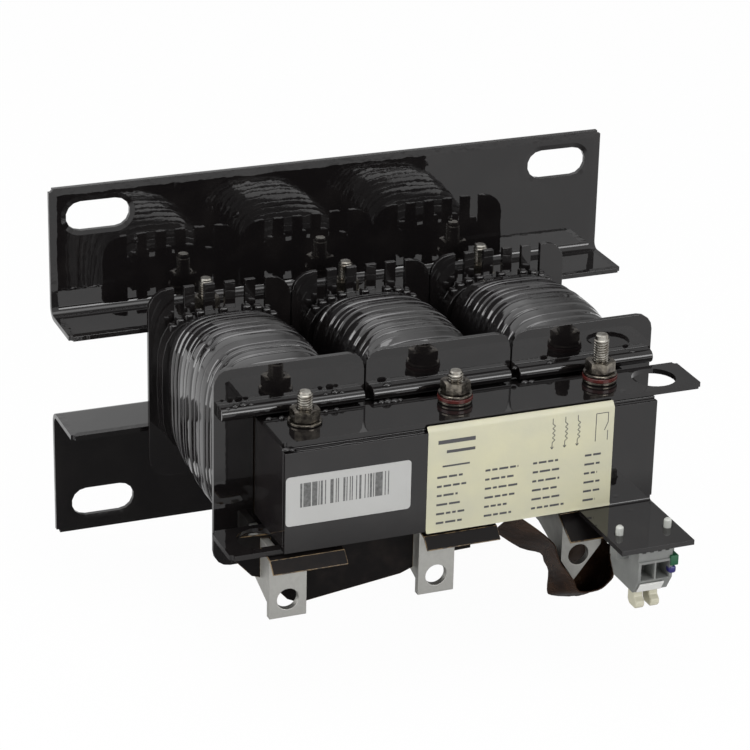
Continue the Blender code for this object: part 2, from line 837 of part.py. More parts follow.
def main():
    clear_scene()
    lacquer = make_material("black_lacquer", (0.012, 0.012, 0.014), 0.18)
    iron = make_material("core_iron", (0.020, 0.020, 0.022), 0.35, 0.4)
    wire = make_material("lacquered_wire", (0.018, 0.018, 0.020), 0.25)
    moulding = make_material("bobbin_moulding", (0.014, 0.014, 0.016), 0.22)
    spacer = make_material("gap_board", (0.45, 0.36, 0.22), 0.7)
    steel = make_material("zinc_plated_steel", (0.55, 0.53, 0.48), 0.35, 1.0)
    fibre = make_material("red_fibre", (0.16, 0.03, 0.02), 0.5)
    aluminium = make_material("aluminium", (0.72, 0.72, 0.70), 0.4, 1.0)
    board = make_material("black_board", (0.010, 0.009, 0.009), 0.3)
    paper = make_material("varnished_paper", (0.060, 0.030, 0.018), 0.2)
    grey = make_material("grey_moulding", (0.35, 0.36, 0.37), 0.5)
    ivory = make_material("ivory_moulding", (0.75, 0.72, 0.58), 0.5)
    white = make_material("white_marker", (0.85, 0.85, 0.83), 0.6)

    build_bracket("upper_bracket", 1, lacquer)
    build_bracket("lower_bracket", -1, lacquer)
    build_core(iron, spacer)
    build_clamp_plates(lacquer)
    for index, (label, x) in enumerate(zip("abc", bolt_columns)):
        build_bolt_stack("rear_" + label, x, rear_bolt_y, bracket_top, rear_bolt_rise, False, steel, fibre)
        rise = front_bolt_rises[index]
        front_x = x + front_bolt_shift
        build_bolt_stack("front_" + label, front_x, front_bolt_y, plate_top, rise, index > 0, steel, fibre)
        leg_x = x - flag_offset - flag_width / 2
        back, front = build_bobbin(label, x, leg_x, moulding)
        build_winding(label, x, back, front, wire)
        build_flag(label, x - flag_offset, front, aluminium)
    build_flaps(board)
    build_card(board)
    build_paper(paper)
    centre, edge, bed = build_terminal_bracket(lacquer)
    build_terminal_block(centre, edge, bed, grey, ivory, white)


main()
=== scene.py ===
"""Looks of the detuned reactor: camera, studio, lacquer, windings, fastenings and labels.

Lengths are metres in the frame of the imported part: +X along the brackets, +Y into the panel, +Z up.
"""

import math
import random

import bmesh
import bpy
from mathutils import Matrix, Vector


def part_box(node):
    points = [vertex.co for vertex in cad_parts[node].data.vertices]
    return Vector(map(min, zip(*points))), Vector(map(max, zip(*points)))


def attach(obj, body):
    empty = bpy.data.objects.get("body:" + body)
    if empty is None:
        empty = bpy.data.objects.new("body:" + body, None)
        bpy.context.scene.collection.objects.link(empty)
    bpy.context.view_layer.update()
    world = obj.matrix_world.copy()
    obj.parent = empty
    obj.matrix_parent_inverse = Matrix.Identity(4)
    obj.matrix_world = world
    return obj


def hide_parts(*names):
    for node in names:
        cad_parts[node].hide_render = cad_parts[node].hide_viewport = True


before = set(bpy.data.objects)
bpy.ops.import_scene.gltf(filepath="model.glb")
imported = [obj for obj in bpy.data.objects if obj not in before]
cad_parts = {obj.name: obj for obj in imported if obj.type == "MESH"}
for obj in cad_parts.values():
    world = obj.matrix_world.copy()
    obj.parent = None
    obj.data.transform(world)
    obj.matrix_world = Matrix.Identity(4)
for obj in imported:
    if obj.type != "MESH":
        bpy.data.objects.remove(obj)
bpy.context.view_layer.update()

MM = 0.001
BODY = "root"
LABELS = ("a", "b", "c")

# Camera of the photograph
camera_place = (-0.40255, -1.03880, 0.39291)
camera_turn = math.radians(22.0005)
camera_dip = math.radians(22.879)
camera_roll = math.radians(1.262)
camera_lens = 138.45
camera_shift = (0.0104, -0.0189)

# Studio
floor_level = -0.150
floor_size = 9.0
# Painted shade on the floor as the lacquer mirrors it: where the dark patch in front of and under the object
# lies, and how dark it is
shade_front = (-0.30, -0.24)
shade_back = (-0.02, 0.04)
shade_side = (0.16, 0.24)
shade_depth = 0.85
dome_strength = 0.42
mirror_strength = 0.98
mirror_drop = 0.70
softbox_way = (0.345, -0.853, 0.39)
softbox_reach = 1.6

# Windings
turn_count = 15
turn_groove = 0.60 * MM
turn_wander = 0.20 * MM
turn_slope = 0.22 * MM
turn_tilt = math.radians(0.80)
winding_sides = 88
winding_squareness = 3.4
winding_end_width = 48.4 * MM
winding_end_height = 61.6 * MM
winding_side_swell = 0.9 * MM
winding_top_swell = 5.6 * MM
winding_wall = 3.3 * MM

# Fastenings
thread_pitch = 1.0 * MM
thread_root = 2.45 * MM
thread_crest = 2.95 * MM
thread_steps = 24
nut_flats = 10.0 * MM
turned_steps = 48

# Bobbin guide knobs
knob_count = 9
knob_width = 3.3 * MM
knob_height = 3.0 * MM
knob_depth = 1.9 * MM

# Lacquer that ran into drops on the ribs and seams, as middle and radius in millimetres
drop_flatness = 0.65
drop_growth = 1.35
rib_drops = (
    (-86.5, -121.4, -36.4, 0.7), (-83.6, -120.9, -36.2, 1.0), (-80.3, -120.6, -36.1, 1.1),
    (-77.4, -120.8, -36.2, 0.7), (-48.0, -120.8, -36.2, 0.8), (-44.2, -120.5, -36.1, 1.2),
    (-41.6, -121.0, -36.3, 0.8), (-23.2, -120.6, -36.1, 1.1), (29.0, -120.8, -36.2, 0.9),
    (44.0, -120.6, -36.1, 0.9), (79.0, -120.7, -36.2, 0.8),
)
seam_drops = (
    (-29.6, -125.2, -40.8, 0.8), (-27.6, -126.0, -40.3, 1.0), (-25.2, -126.4, -40.2, 1.2),
    (-22.6, -126.8, -40.1, 1.0), (-20.4, -126.6, -40.1, 0.8), (-72.6, -127.0, -40.1, 0.8),
    (-68.0, -128.0, -40.1, 1.0), (-50.4, -127.2, -40.1, 0.8), (-46.0, -127.0, -40.1, 0.7),
    (31.0, -126.2, -40.2, 1.0), (33.6, -126.6, -40.1, 0.8), (-74.0, -149.4, -42.7, 1.0),
    (-71.9, -149.8, -42.9, 0.8),
)

# Lacquer ledge along the top of the front sheet, from its left end
ledge_start = -70.5 * MM
ledge_end = -20.5 * MM
ledge_depth = 1.7 * MM
ledge_height = 0.7 * MM

# Steps of the paper's inner fold: how far back and how much smaller
paper_fold_steps = ((1.2 * MM, 0.80), (1.8 * MM, 0.72), (1.0 * MM, 0.60))

# Varnish lumps beside the flags' legs
amber_size = (3.6 * MM, 2.2 * MM, 1.8 * MM)
amber_aside = 5.0 * MM
amber_drop = 2.6 * MM

# Moves of the card's lower edge, by place along X, in metres
card_hem_top = -92.0 * MM
card_hem_moves = (
    (-80.3 * MM, -1.5 * MM), (-66.3 * MM, -2.2 * MM), (-61.6 * MM, -3.6 * MM),
    (-22.0 * MM, -3.1 * MM), (-10.3 * MM, 5.4 * MM), (6.0 * MM, 5.4 * MM),
)

# Terminal block
peg_foot = -84.9 * MM
tab_left = 5.9 * MM
tab_width = 3.4 * MM
contact_size = (1.3 * MM, 1.0 * MM, 1.6 * MM)
contact_columns = (-4.6 * MM, 1.65 * MM)
contact_drop = 7.6 * MM

# Edge of the boards
board_edge_width = 1.1 * MM

# Lacquer edges of the brackets
fat_edge = 3.0 * MM
fat_edge_fall = 0.11
slot_rim = 2.0 * MM
slot_rim_fall = 0.20
web_half_height = 75.0 * MM
web_middle = -62.5 * MM
web_half_length = 120.0 * MM
flange_front = -28.0 * MM
slot_column = 100.0 * MM
slot_row = 62.5 * MM
slot_straight = 7.15 * MM
slot_radius = 6.1 * MM

# Labels on the front sheet, as low and high corners in X and Z
sheet_front = 2.3 * MM
white_label = ((-74.7 * MM, -72.8 * MM), (-25.5 * MM, -53.0 * MM))
white_label_corner = 1.5 * MM
rating_plate = ((-19.0 * MM, -84.4 * MM), (57.0 * MM, -41.3 * MM))
film_fold = -43.6 * MM
film_lean = 1.5 * MM
film_curl_start = -83.0 * MM
film_curl = 0.4 * MM
rating_plate_corner = 0.6 * MM
label_sheet = 0.12 * MM
bar_field = ((-70.0 * MM, -65.7 * MM), (-33.3 * MM, -56.0 * MM))


class Value:
    """A shader socket that takes part in plain arithmetic."""

    def __init__(self, paint, socket):
        self.paint = paint
        self.socket = socket

    def _maths(self, operation, first, second):
        settings = {"operation": operation}
        return self.paint.node("ShaderNodeMath", settings, {0: first, 1: second})

    def __add__(self, other):
        return self._maths("ADD", self, other)

    def __radd__(self, other):
        return self._maths("ADD", other, self)

    def __sub__(self, other):
        return self._maths("SUBTRACT", self, other)

    def __rsub__(self, other):
        return self._maths("SUBTRACT", other, self)

    def __mul__(self, other):
        return self._maths("MULTIPLY", self, other)

    def __rmul__(self, other):
        return self._maths("MULTIPLY", other, self)

    def __truediv__(self, other):
        return self._maths("DIVIDE", self, other)

    def __gt__(self, other):
        return self._maths("GREATER_THAN", self, other)

    def __lt__(self, other):
        return self._maths("LESS_THAN", self, other)

    def floor(self):
        return self._maths("FLOOR", self, 0.0)

    def fraction(self):
        return self._maths("FRACT", self, 0.0)

    def size(self):
        return self._maths("ABSOLUTE", self, 0.0)

    def root(self):
        return self._maths("SQRT", self, 0.0)

    def least(self, other):
        return self._maths("MINIMUM", self, other)

    def most(self, other):
        return self._maths("MAXIMUM", self, other)


class Paint:
    """A material under construction."""

    def __init__(self, name):
        self.material = bpy.data.materials.new(name)
        self.material.use_nodes = True
        self.tree = self.material.node_tree
        self.tree.nodes.clear()
        self.place = None

    def node(self, kind, settings=None, inputs=None, output=0):
        item = self.tree.nodes.new(kind)
        for key, value in (settings or {}).items():
            if key == "stops":
                self._fill_ramp(item.color_ramp, value)
            else:
                setattr(item, key, value)
        for key, value in (inputs or {}).items():
            if isinstance(value, Value):
                self.tree.links.new(value.socket, item.inputs[key])
            else:
                item.inputs[key].default_value = value
        return Value(self, item.outputs[output])

    def _fill_ramp(self, ramp, stops):
        while len(ramp.elements) > 1:
            ramp.elements.remove(ramp.elements[-1])
        ramp.elements[0].position = stops[0][0]
        ramp.elements[0].color = stops[0][1]
        for position, colour in stops[1:]:
            ramp.elements.new(position).color = colour

    def where(self):
        """Object coordinates of the surface, in metres."""
        if self.place is None:
            self.place = self.node("ShaderNodeTexCoord", output="Object")
        return self.place

    def axes(self):
        split = self.where()
        item = self.node("ShaderNodeSeparateXYZ", None, {0: split})
        outputs = item.socket.node.outputs
        return tuple(Value(self, outputs[index]) for index in range(3))

    def stretched(self, scale):
        return self.node("ShaderNodeMapping", None, {"Vector": self.where(), "Scale": scale})

    def noise(self, scale, detail=3.0, roughness=0.5, vector=None):
        place = vector if vector is not None else self.where()
        inputs = {"Vector": place, "Scale": scale, "Detail": detail, "Roughness": roughness}
        return self.node("ShaderNodeTexNoise", None, inputs)

    def cells(self, scale, output="Distance"):
        inputs = {"Vector": self.where(), "Scale": scale}
        return self.node("ShaderNodeTexVoronoi", None, inputs, output)

    def ramp(self, factor, *stops):
        return self.node("ShaderNodeValToRGB", {"stops": stops}, {"Fac": factor})

    def between(self, value, low, high):
        inputs = {"Value": value, "From Min": low, "From Max": high}
        return self.node("ShaderNodeMapRange", None, inputs)

    def mix(self, factor, first, second):
        inputs = {0: factor, 6: first, 7: second}
        return self.node("ShaderNodeMix", {"data_type": "RGBA"}, inputs, 2)

    def bump(self, height, distance, strength=1.0, normal=None):
        inputs = {"Height": height, "Distance": distance, "Strength": strength}
        if normal is not None:
            inputs["Normal"] = normal
        return self.node("ShaderNodeBump", None, inputs)

    def finish(self, **sockets):
        inputs = {key.replace("_", " "): value for key, value in sockets.items()}
        shader = self.node("ShaderNodeBsdfPrincipled", None, inputs)
        self.node_output(shader)
        return self.material

    def node_output(self, shader):
        item = self.tree.nodes.new("ShaderNodeOutputMaterial")
        self.tree.links.new(shader.socket, item.inputs["Surface"])


def colour(red, green, blue):
    return (red, green, blue, 1.0)


def lacquer_base(paint, tone):
    """Near black, a little browner where the coat is thin."""
    thin = paint.between(paint.noise(70.0, 4.0), 0.45, 0.75)
    return paint.mix(
        thin,
        colour(0.0072 * tone, 0.0062 * tone, 0.0064 * tone),
        colour(0.0115 * tone, 0.0100 * tone, 0.0098 * tone),
    )


def lacquer_skin(paint, wave, ripple):
    """Height of the coat in metres: slow waves, fine ripples and a few pimples."""
    slow = paint.noise(30.0, 1.5, 0.4)
    quick = paint.noise(230.0, 2.0, 0.5)
    chosen = paint.cells(95.0, "Color")
    pick = paint.node("ShaderNodeSeparateColor", None, {0: chosen})
    near = 1.0 - paint.between(paint.cells(95.0), 0.02, 0.14)
    pimples = near * (pick > 0.93)
    return slow * wave + quick * (0.000016 * ripple) + pimples * 0.00012


def make_lacquer(name, tone=1.0, wave=0.00016, ripple=1.0):
    """Thick black dip lacquer, almost a mirror."""
    paint = Paint(name)
    normal = paint.bump(lacquer_skin(paint, wave, ripple), 1.0)
    rough = paint.between(paint.noise(120.0, 3.0), 0.3, 0.9) * 0.035 + 0.018
    base = lacquer_base(paint, tone)
    return paint.finish(Base_Color=base, Roughness=rough, Normal=normal, IOR=1.5)


def make_bracket_lacquer():
    """Dip lacquer on the brackets, which drew back from their edges and round their slots."""
    paint = Paint("bracket_lacquer")
    x, y, z = paint.axes()
    across = x.size()
    up = (z - web_middle).size()
    ragged = (paint.noise(160.0, 3.0, 0.6) - 0.5) * (2.4 * MM)
    inward = (web_half_height - up).least(web_half_length - across).least(y - flange_front)
    edge = (fat_edge + ragged - inward).most(0.0)
    beyond = ((across - slot_column).size() - slot_straight).most(0.0)
    off = up - slot_row
    ring = (beyond * beyond + off * off).root() - slot_radius
    rim = (slot_rim - ring).most(0.0)
    height = lacquer_skin(paint, 0.00012, 1.0) - edge * fat_edge_fall - rim * slot_rim_fall
    normal = paint.bump(height, 1.0)
    rough = paint.between(paint.noise(120.0, 3.0), 0.3, 0.9) * 0.03 + 0.012
    base = lacquer_base(paint, 1.0)
    return paint.finish(Base_Color=base, Roughness=rough, Normal=normal, IOR=1.5)


def make_wire_lacquer():
    """Lacquer over flat conductor, with fine streaks along each turn."""
    paint = Paint("wire_lacquer")
    streak = paint.noise(1.0, 3.0, 0.6, paint.stretched((60.0, 900.0, 60.0)))
    blotch = paint.noise(55.0, 3.0)
    base = paint.mix(
        paint.between(blotch, 0.4, 0.7), colour(0.007, 0.006, 0.006), colour(0.016, 0.015, 0.016)
    )
    height = streak * 0.000035 + paint.noise(140.0, 2.0) * 0.00005
    normal = paint.bump(height, 1.0)
    rough = paint.between(blotch, 0.3, 0.7) * 0.05 + 0.035
    return paint.finish(Base_Color=base, Roughness=rough, Normal=normal, IOR=1.78)


def make_zinc():
    """Dull zinc plate, brownish where lacquer ran down it."""
    paint = Paint("zinc_plate")
    stain = paint.between(paint.noise(420.0, 4.0, 0.6), 0.42, 0.66)
    base = paint.mix(stain * 0.8, colour(0.40, 0.385, 0.35), colour(0.13, 0.105, 0.08))
    rough = paint.noise(900.0, 2.0) * 0.16 + 0.16
    normal = paint.bump(paint.noise(1500.0, 2.0), 0.00003)
    return paint.finish(Base_Color=base, Roughness=rough, Metallic=1.0, Normal=normal)


def make_dark_steel():
    """Steel under a thin brown coat of lacquer."""
    paint = Paint("lacquered_steel")
    thin = paint.between(paint.noise(380.0, 4.0, 0.6), 0.40, 0.72)
    base = paint.mix(thin, colour(0.060, 0.052, 0.045), colour(0.26, 0.235, 0.195))
    rough = paint.noise(700.0, 2.0) * 0.14 + 0.10
    normal = paint.bump(paint.noise(600.0, 2.0), 0.00004)
    return paint.finish(Base_Color=base, Roughness=rough, Metallic=0.9, Normal=normal)


def make_aluminium():
    """Flat aluminium bar with fine rolling lines and soft scuffs."""
    paint = Paint("bar_aluminium")
    lines = paint.noise(1.0, 3.0, 0.7, paint.stretched((2200.0, 2200.0, 90.0)))
    scuff = paint.noise(260.0, 5.0, 0.6)
    base = paint.mix(
        paint.between(scuff, 0.35, 0.7), colour(0.64, 0.635, 0.60), colour(0.55, 0.545, 0.515)
    )
    rough = paint.between(scuff, 0.3, 0.8) * 0.12 + 0.38
    normal = paint.bump(lines * 0.4 + scuff * 0.4, 0.00003)
    return paint.finish(Base_Color=base, Roughness=rough, Metallic=0.80, Normal=normal)


def make_fibre():
    paint = Paint("fibre_red")
    grain = paint.noise(900.0, 3.0)
    base = paint.mix(grain, colour(0.11, 0.016, 0.012), colour(0.045, 0.010, 0.009))
    return paint.finish(Base_Color=base, Roughness=0.22, Normal=paint.bump(grain, 0.00005))


def make_board():
    """Pressboard soaked in black lacquer, rather dull."""
    paint = Paint("soaked_board")
    blotch = paint.noise(130.0, 4.0)
    base = paint.mix(
        paint.between(blotch, 0.5, 0.75), colour(0.0055, 0.0045, 0.0045), colour(0.012, 0.009, 0.008)
    )
    rough = paint.between(blotch, 0.3, 0.8) * 0.20 + 0.42
    normal = paint.bump(blotch + paint.noise(700.0, 2.0) * 0.25, 0.00012)
    return paint.finish(Base_Color=base, Roughness=rough, Normal=normal, Specular_IOR_Level=0.12)


def make_board_edge():
    """Cut edge of the pressboard, where amber varnish soaked in."""
    paint = Paint("board_edge")
    grain = paint.noise(500.0, 4.0, 0.6)
    soaked = paint.between(grain, 0.42, 0.62)
    base = paint.mix(soaked, colour(0.23, 0.155, 0.075), colour(0.030, 0.020, 0.012))
    return paint.finish(Base_Color=base, Roughness=0.40, Normal=paint.bump(grain, 0.00006))


def make_gap_board():
    """Edge of the pressboard in the core's gaps, brown under the lacquer."""
    paint = Paint("gap_board_brown")
    grain = paint.noise(600.0, 3.0)
    base = paint.mix(grain, colour(0.030, 0.020, 0.013), colour(0.012, 0.009, 0.008))
    return paint.finish(Base_Color=base, Roughness=0.35, Normal=paint.bump(grain, 0.00004))


def make_paper():
    """Varnished paper: dark brown and glossy, with soft creases."""
    paint = Paint("brown_paper")
    blotch = paint.noise(85.0, 4.0)
    base = paint.mix(
        paint.between(blotch, 0.35, 0.75), colour(0.018, 0.0095, 0.0062), colour(0.060, 0.032, 0.019)
    )
    crease = paint.noise(1.0, 3.0, 0.5, paint.stretched((120.0, 60.0, 160.0)))
    normal = paint.bump(crease + paint.noise(420.0, 2.0) * 0.1, 0.00060)
    rough = paint.between(blotch, 0.3, 0.7) * 0.16 + 0.18
    return paint.finish(Base_Color=base, Roughness=rough, Normal=normal, Specular_IOR_Level=0.22)


def make_amber():
    """Clear amber varnish that set in a thick drop."""
    paint = Paint("amber_varnish")
    blotch = paint.noise(600.0, 3.0)
    base = paint.mix(blotch, colour(0.42, 0.24, 0.06), colour(0.14, 0.07, 0.02))
    return paint.finish(Base_Color=base, Roughness=0.12, Normal=paint.bump(blotch, 0.0002))


def make_plastic(name, light, dark, rough, grain=0.00003):
    paint = Paint(name)
    speck = paint.noise(900.0, 3.0)
    base = paint.mix(paint.between(paint.noise(160.0, 3.0), 0.3, 0.75), light, dark)
    normal = paint.bump(speck, grain)
    return paint.finish(Base_Color=base, Roughness=speck * 0.10 + rough, Normal=normal)


def make_block_plastic():
    """Grey moulding of the terminal block, with its two pegs a translucent white."""
    paint = Paint("block_grey")
    _, _, z = paint.axes()
    speck = paint.noise(900.0, 3.0)
    cloud = paint.between(paint.noise(160.0, 3.0), 0.3, 0.75)
    grey = paint.mix(cloud, colour(0.21, 0.215, 0.205), colour(0.165, 0.17, 0.165))
    base = paint.mix(z > peg_foot, grey, colour(0.52, 0.53, 0.50))
    normal = paint.bump(speck, 0.00003)
    return paint.finish(Base_Color=base, Roughness=speck * 0.10 + 0.30, Normal=normal)


def make_white_label():
    """White label with a field of plain upright bars of mixed widths."""
    paint = Paint("white_label")
    x, _, z = paint.axes()
    (left, bottom), (right, top) = bar_field
    column = ((x - left) / (0.42 * MM)).floor()
    dice = paint.node("ShaderNodeTexWhiteNoise", {"noise_dimensions": "1D"}, {"W": column})
    wide = ((x - left) / (1.26 * MM)).floor()
    second = paint.node("ShaderNodeTexWhiteNoise", {"noise_dimensions": "1D"}, {"W": wide + 71.0})
    inside = (x > left) * (x < right) * (z > bottom) * (z < top)
    bars = (dice * 0.62 + second * 0.38 > 0.50) * inside
    fade = paint.noise(900.0, 3.0, 0.6) * 0.5 + 0.55
    soil = paint.noise(60.0, 3.0)
    clean = paint.mix(soil, colour(0.46, 0.46, 0.45), colour(0.41, 0.41, 0.40))
    base = paint.mix(bars * fade, clean, colour(0.035, 0.035, 0.035))
    normal = paint.bump(paint.noise(700.0, 2.0), 0.00003)
    return paint.finish(Base_Color=base, Roughness=0.42, Normal=normal)


def make_plate_base():
    """Pale yellow film of the rating plate, a little mottled."""
    paint = Paint("plate_film")
    mottle = paint.noise(75.0, 4.0)
    base = paint.mix(
        paint.between(mottle, 0.3, 0.75), colour(0.52, 0.50, 0.345), colour(0.45, 0.44, 0.335)
    )
    normal = paint.bump(paint.noise(500.0, 2.0), 0.00003)
    return paint.finish(Base_Color=base, Roughness=0.38, Normal=normal)


def make_flat(name, tint, rough):
    paint = Paint(name)
    grain = paint.noise(800.0, 2.0)
    light = tuple(min(1.0, part * 1.15) for part in tint[:3]) + (1.0,)
    base = paint.mix(grain, tint, light)
    return paint.finish(Base_Color=base, Roughness=rough, Normal=paint.bump(grain, 0.00002))


def activate(item):
    bpy.ops.object.select_all(action="DESELECT")
    item.select_set(True)
    bpy.context.view_layer.objects.active = item


def open_mesh(item, action="SELECT"):
    activate(item)
    bpy.ops.object.mode_set(mode="EDIT")
    bpy.ops.mesh.select_all(action=action)


def close_mesh():
    bpy.ops.object.mode_set(mode="OBJECT")


def select_where(item, test, parts="faces"):
    """In edit mode, select the faces, edges or vertices whose middle passes the test."""
    data = bmesh.from_edit_mesh(item.data)
    for element in list(data.verts) + list(data.edges) + list(data.faces):
        element.select = False
    for element in getattr(data, parts):
        if parts == "verts":
            middle = element.co
        elif parts == "edges":
            middle = (element.verts[0].co + element.verts[1].co) / 2
        else:
            middle = element.calc_center_median()
        if test(middle):
            element.select_set(True)
    bmesh.update_edit_mesh(item.data)


def outward(item):
    """Merge doubles and turn every face outwards."""
    open_mesh(item)
    bpy.ops.mesh.remove_doubles(threshold=0.000002)
    bpy.ops.mesh.normals_make_consistent(inside=False)
    close_mesh()


def add_modifier(item, kind, **settings):
    activate(item)
    modifier = item.modifiers.new(kind.title(), kind)
    for key, value in settings.items():
        setattr(modifier, key, value)
    bpy.ops.object.modifier_apply(modifier=modifier.name)


def soften(item, width, segments=2, angle=30):
    settings = {"width": width, "segments": segments, "limit_method": "ANGLE"}
    add_modifier(item, "BEVEL", angle_limit=math.radians(angle), **settings)


def settle(item, name, material, slot, *nodes, smooth=35, flat=False):
    """Put a finished piece's place into its mesh, and let it ride on the reactor."""
    activate(item)
    bpy.ops.object.transform_apply(location=True, rotation=True, scale=True)
    item.name = name
    item.data.name = name
    item.data.materials.clear()
    item.data.materials.append(material)
    bpy.ops.object.shade_smooth_by_angle(angle=math.radians(smooth))
    if flat:
        add_modifier(item, "WEIGHTED_NORMAL", keep_sharp=True, weight=100)
    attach(item, BODY)
    if nodes:
        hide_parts(*nodes)
    return item


def copy_of(item):
    twin = item.copy()
    twin.data = item.data.copy()
    bpy.context.scene.collection.objects.link(twin)
    return twin


def copy_node(node):
    """A merged copy of a CAD node with its flat faces whole again."""
    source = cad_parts[node]
    item = bpy.data.objects.new(node + "_finish", source.data.copy())
    bpy.context.scene.collection.objects.link(item)
    open_mesh(item)
    bpy.ops.mesh.customdata_custom_splitnormals_clear()
    bpy.ops.mesh.remove_doubles(threshold=0.00001)
    bpy.ops.mesh.dissolve_limited(angle_limit=math.radians(1.0))
    close_mesh()
    return item


def dress(node, width, material, slot, segments=2, angle=30):
    """Replace a node by a copy with softened edges."""
    item = copy_node(node)
    soften(item, width, segments, angle)
    return settle(item, node + "_finish", material, slot, node, flat=True)


def add_box(low, high):
    """A block between two corners, with its place in its mesh."""
    low = Vector(low)
    high = Vector(high)
    bpy.ops.object.select_all(action="DESELECT")
    bpy.ops.mesh.primitive_cube_add(size=1.0, location=(low + high) / 2)
    item = bpy.context.active_object
    item.scale = high - low
    bpy.ops.object.transform_apply(location=True, rotation=True, scale=True)
    return item


def draw_profile(points, closed):
    """An outline drawn point by point from one vertex."""
    bpy.ops.object.select_all(action="DESELECT")
    bpy.ops.mesh.primitive_plane_add(size=0.001, location=points[0])
    item = bpy.context.active_object
    bpy.ops.object.transform_apply(location=True, rotation=True, scale=True)
    open_mesh(item)
    bpy.ops.mesh.merge(type="CENTER")
    for before, after in zip(points, points[1:]):
        step = Vector(after) - Vector(before)
        bpy.ops.mesh.extrude_region_move(TRANSFORM_OT_translate={"value": step})
    if closed:
        bpy.ops.mesh.select_all(action="SELECT")
        ends = [Vector(points[0]), Vector(points[-1])]
        near = 0.0000005
        select_where(item, lambda spot: min((spot - end).length for end in ends) < near, "verts")
        bpy.ops.mesh.edge_face_add()
    close_mesh()
    return item


def turn(profile, closed=True, steps=turned_steps):
    """Spin a profile of radius and height pairs about the Z axis at the origin."""
    item = draw_profile([(radius, 0.0, height) for radius, height in profile], closed)
    open_mesh(item)
    bpy.ops.mesh.spin(steps=steps, angle=math.tau, center=(0.0, 0.0, 0.0), axis=(0.0, 0.0, 1.0))
    close_mesh()
    outward(item)
    return item


def extrude_outline(points, direction):
    """A solid from a closed flat outline and the way it is pulled."""
    item = draw_profile(points, True)
    open_mesh(item)
    bpy.ops.mesh.edge_face_add()
    bpy.ops.mesh.select_all(action="SELECT")
    bpy.ops.mesh.extrude_region_move(TRANSFORM_OT_translate={"value": Vector(direction)})
    close_mesh()
    outward(item)
    return item


def combine(items):
    bpy.ops.object.select_all(action="DESELECT")
    for item in items:
        item.select_set(True)
    bpy.context.view_layer.objects.active = items[0]
    bpy.ops.object.join()
    return bpy.context.view_layer.objects.active


def cut_away(item, tool, operation="DIFFERENCE"):
    add_modifier(item, "BOOLEAN", operation=operation, object=tool, solver="EXACT")
    bpy.data.objects.remove(tool, do_unlink=True)


def shift(item, offset):
    item.data.transform(Matrix.Translation(offset))
    return item


def set_camera():
    """The photograph's own camera, fitted to the brackets, cheeks and plates."""
    forward = Vector((
        math.sin(camera_turn) * math.cos(camera_dip),
        math.cos(camera_turn) * math.cos(camera_dip),
        -math.sin(camera_dip),
    ))
    level = forward.cross(Vector((0.0, 0.0, 1.0))).normalized()
    rise = level.cross(forward)
    right = level * math.cos(camera_roll) + rise * math.sin(camera_roll)
    up = rise * math.cos(camera_roll) - level * math.sin(camera_roll)
    data = bpy.data.cameras.new("camera")
    data.lens = camera_lens
    data.sensor_width = 36.0
    data.shift_x = camera_shift[0]
    data.shift_y = camera_shift[1]
    data.clip_start = 0.01
    data.clip_end = 40.0
    camera = bpy.data.objects.new("camera", data)
    turned = Matrix((right, up, -forward)).transposed().to_4x4()
    camera.matrix_world = Matrix.Translation(camera_place) @ turned
    bpy.context.scene.collection.objects.link(camera)
    bpy.context.scene.camera = camera


def add_lamp(name, place, target, size, power):
    data = bpy.data.lights.new(name, "AREA")
    data.shape = "RECTANGLE"
    data.size = size[0]
    data.size_y = size[1]
    data.energy = power
    lamp = bpy.data.objects.new(name, data)
    away = Vector(place) - Vector(target)
    lamp.matrix_world = Matrix.Translation(place) @ away.to_track_quat("Z", "Y").to_matrix().to_4x4()
    bpy.context.scene.collection.objects.link(lamp)


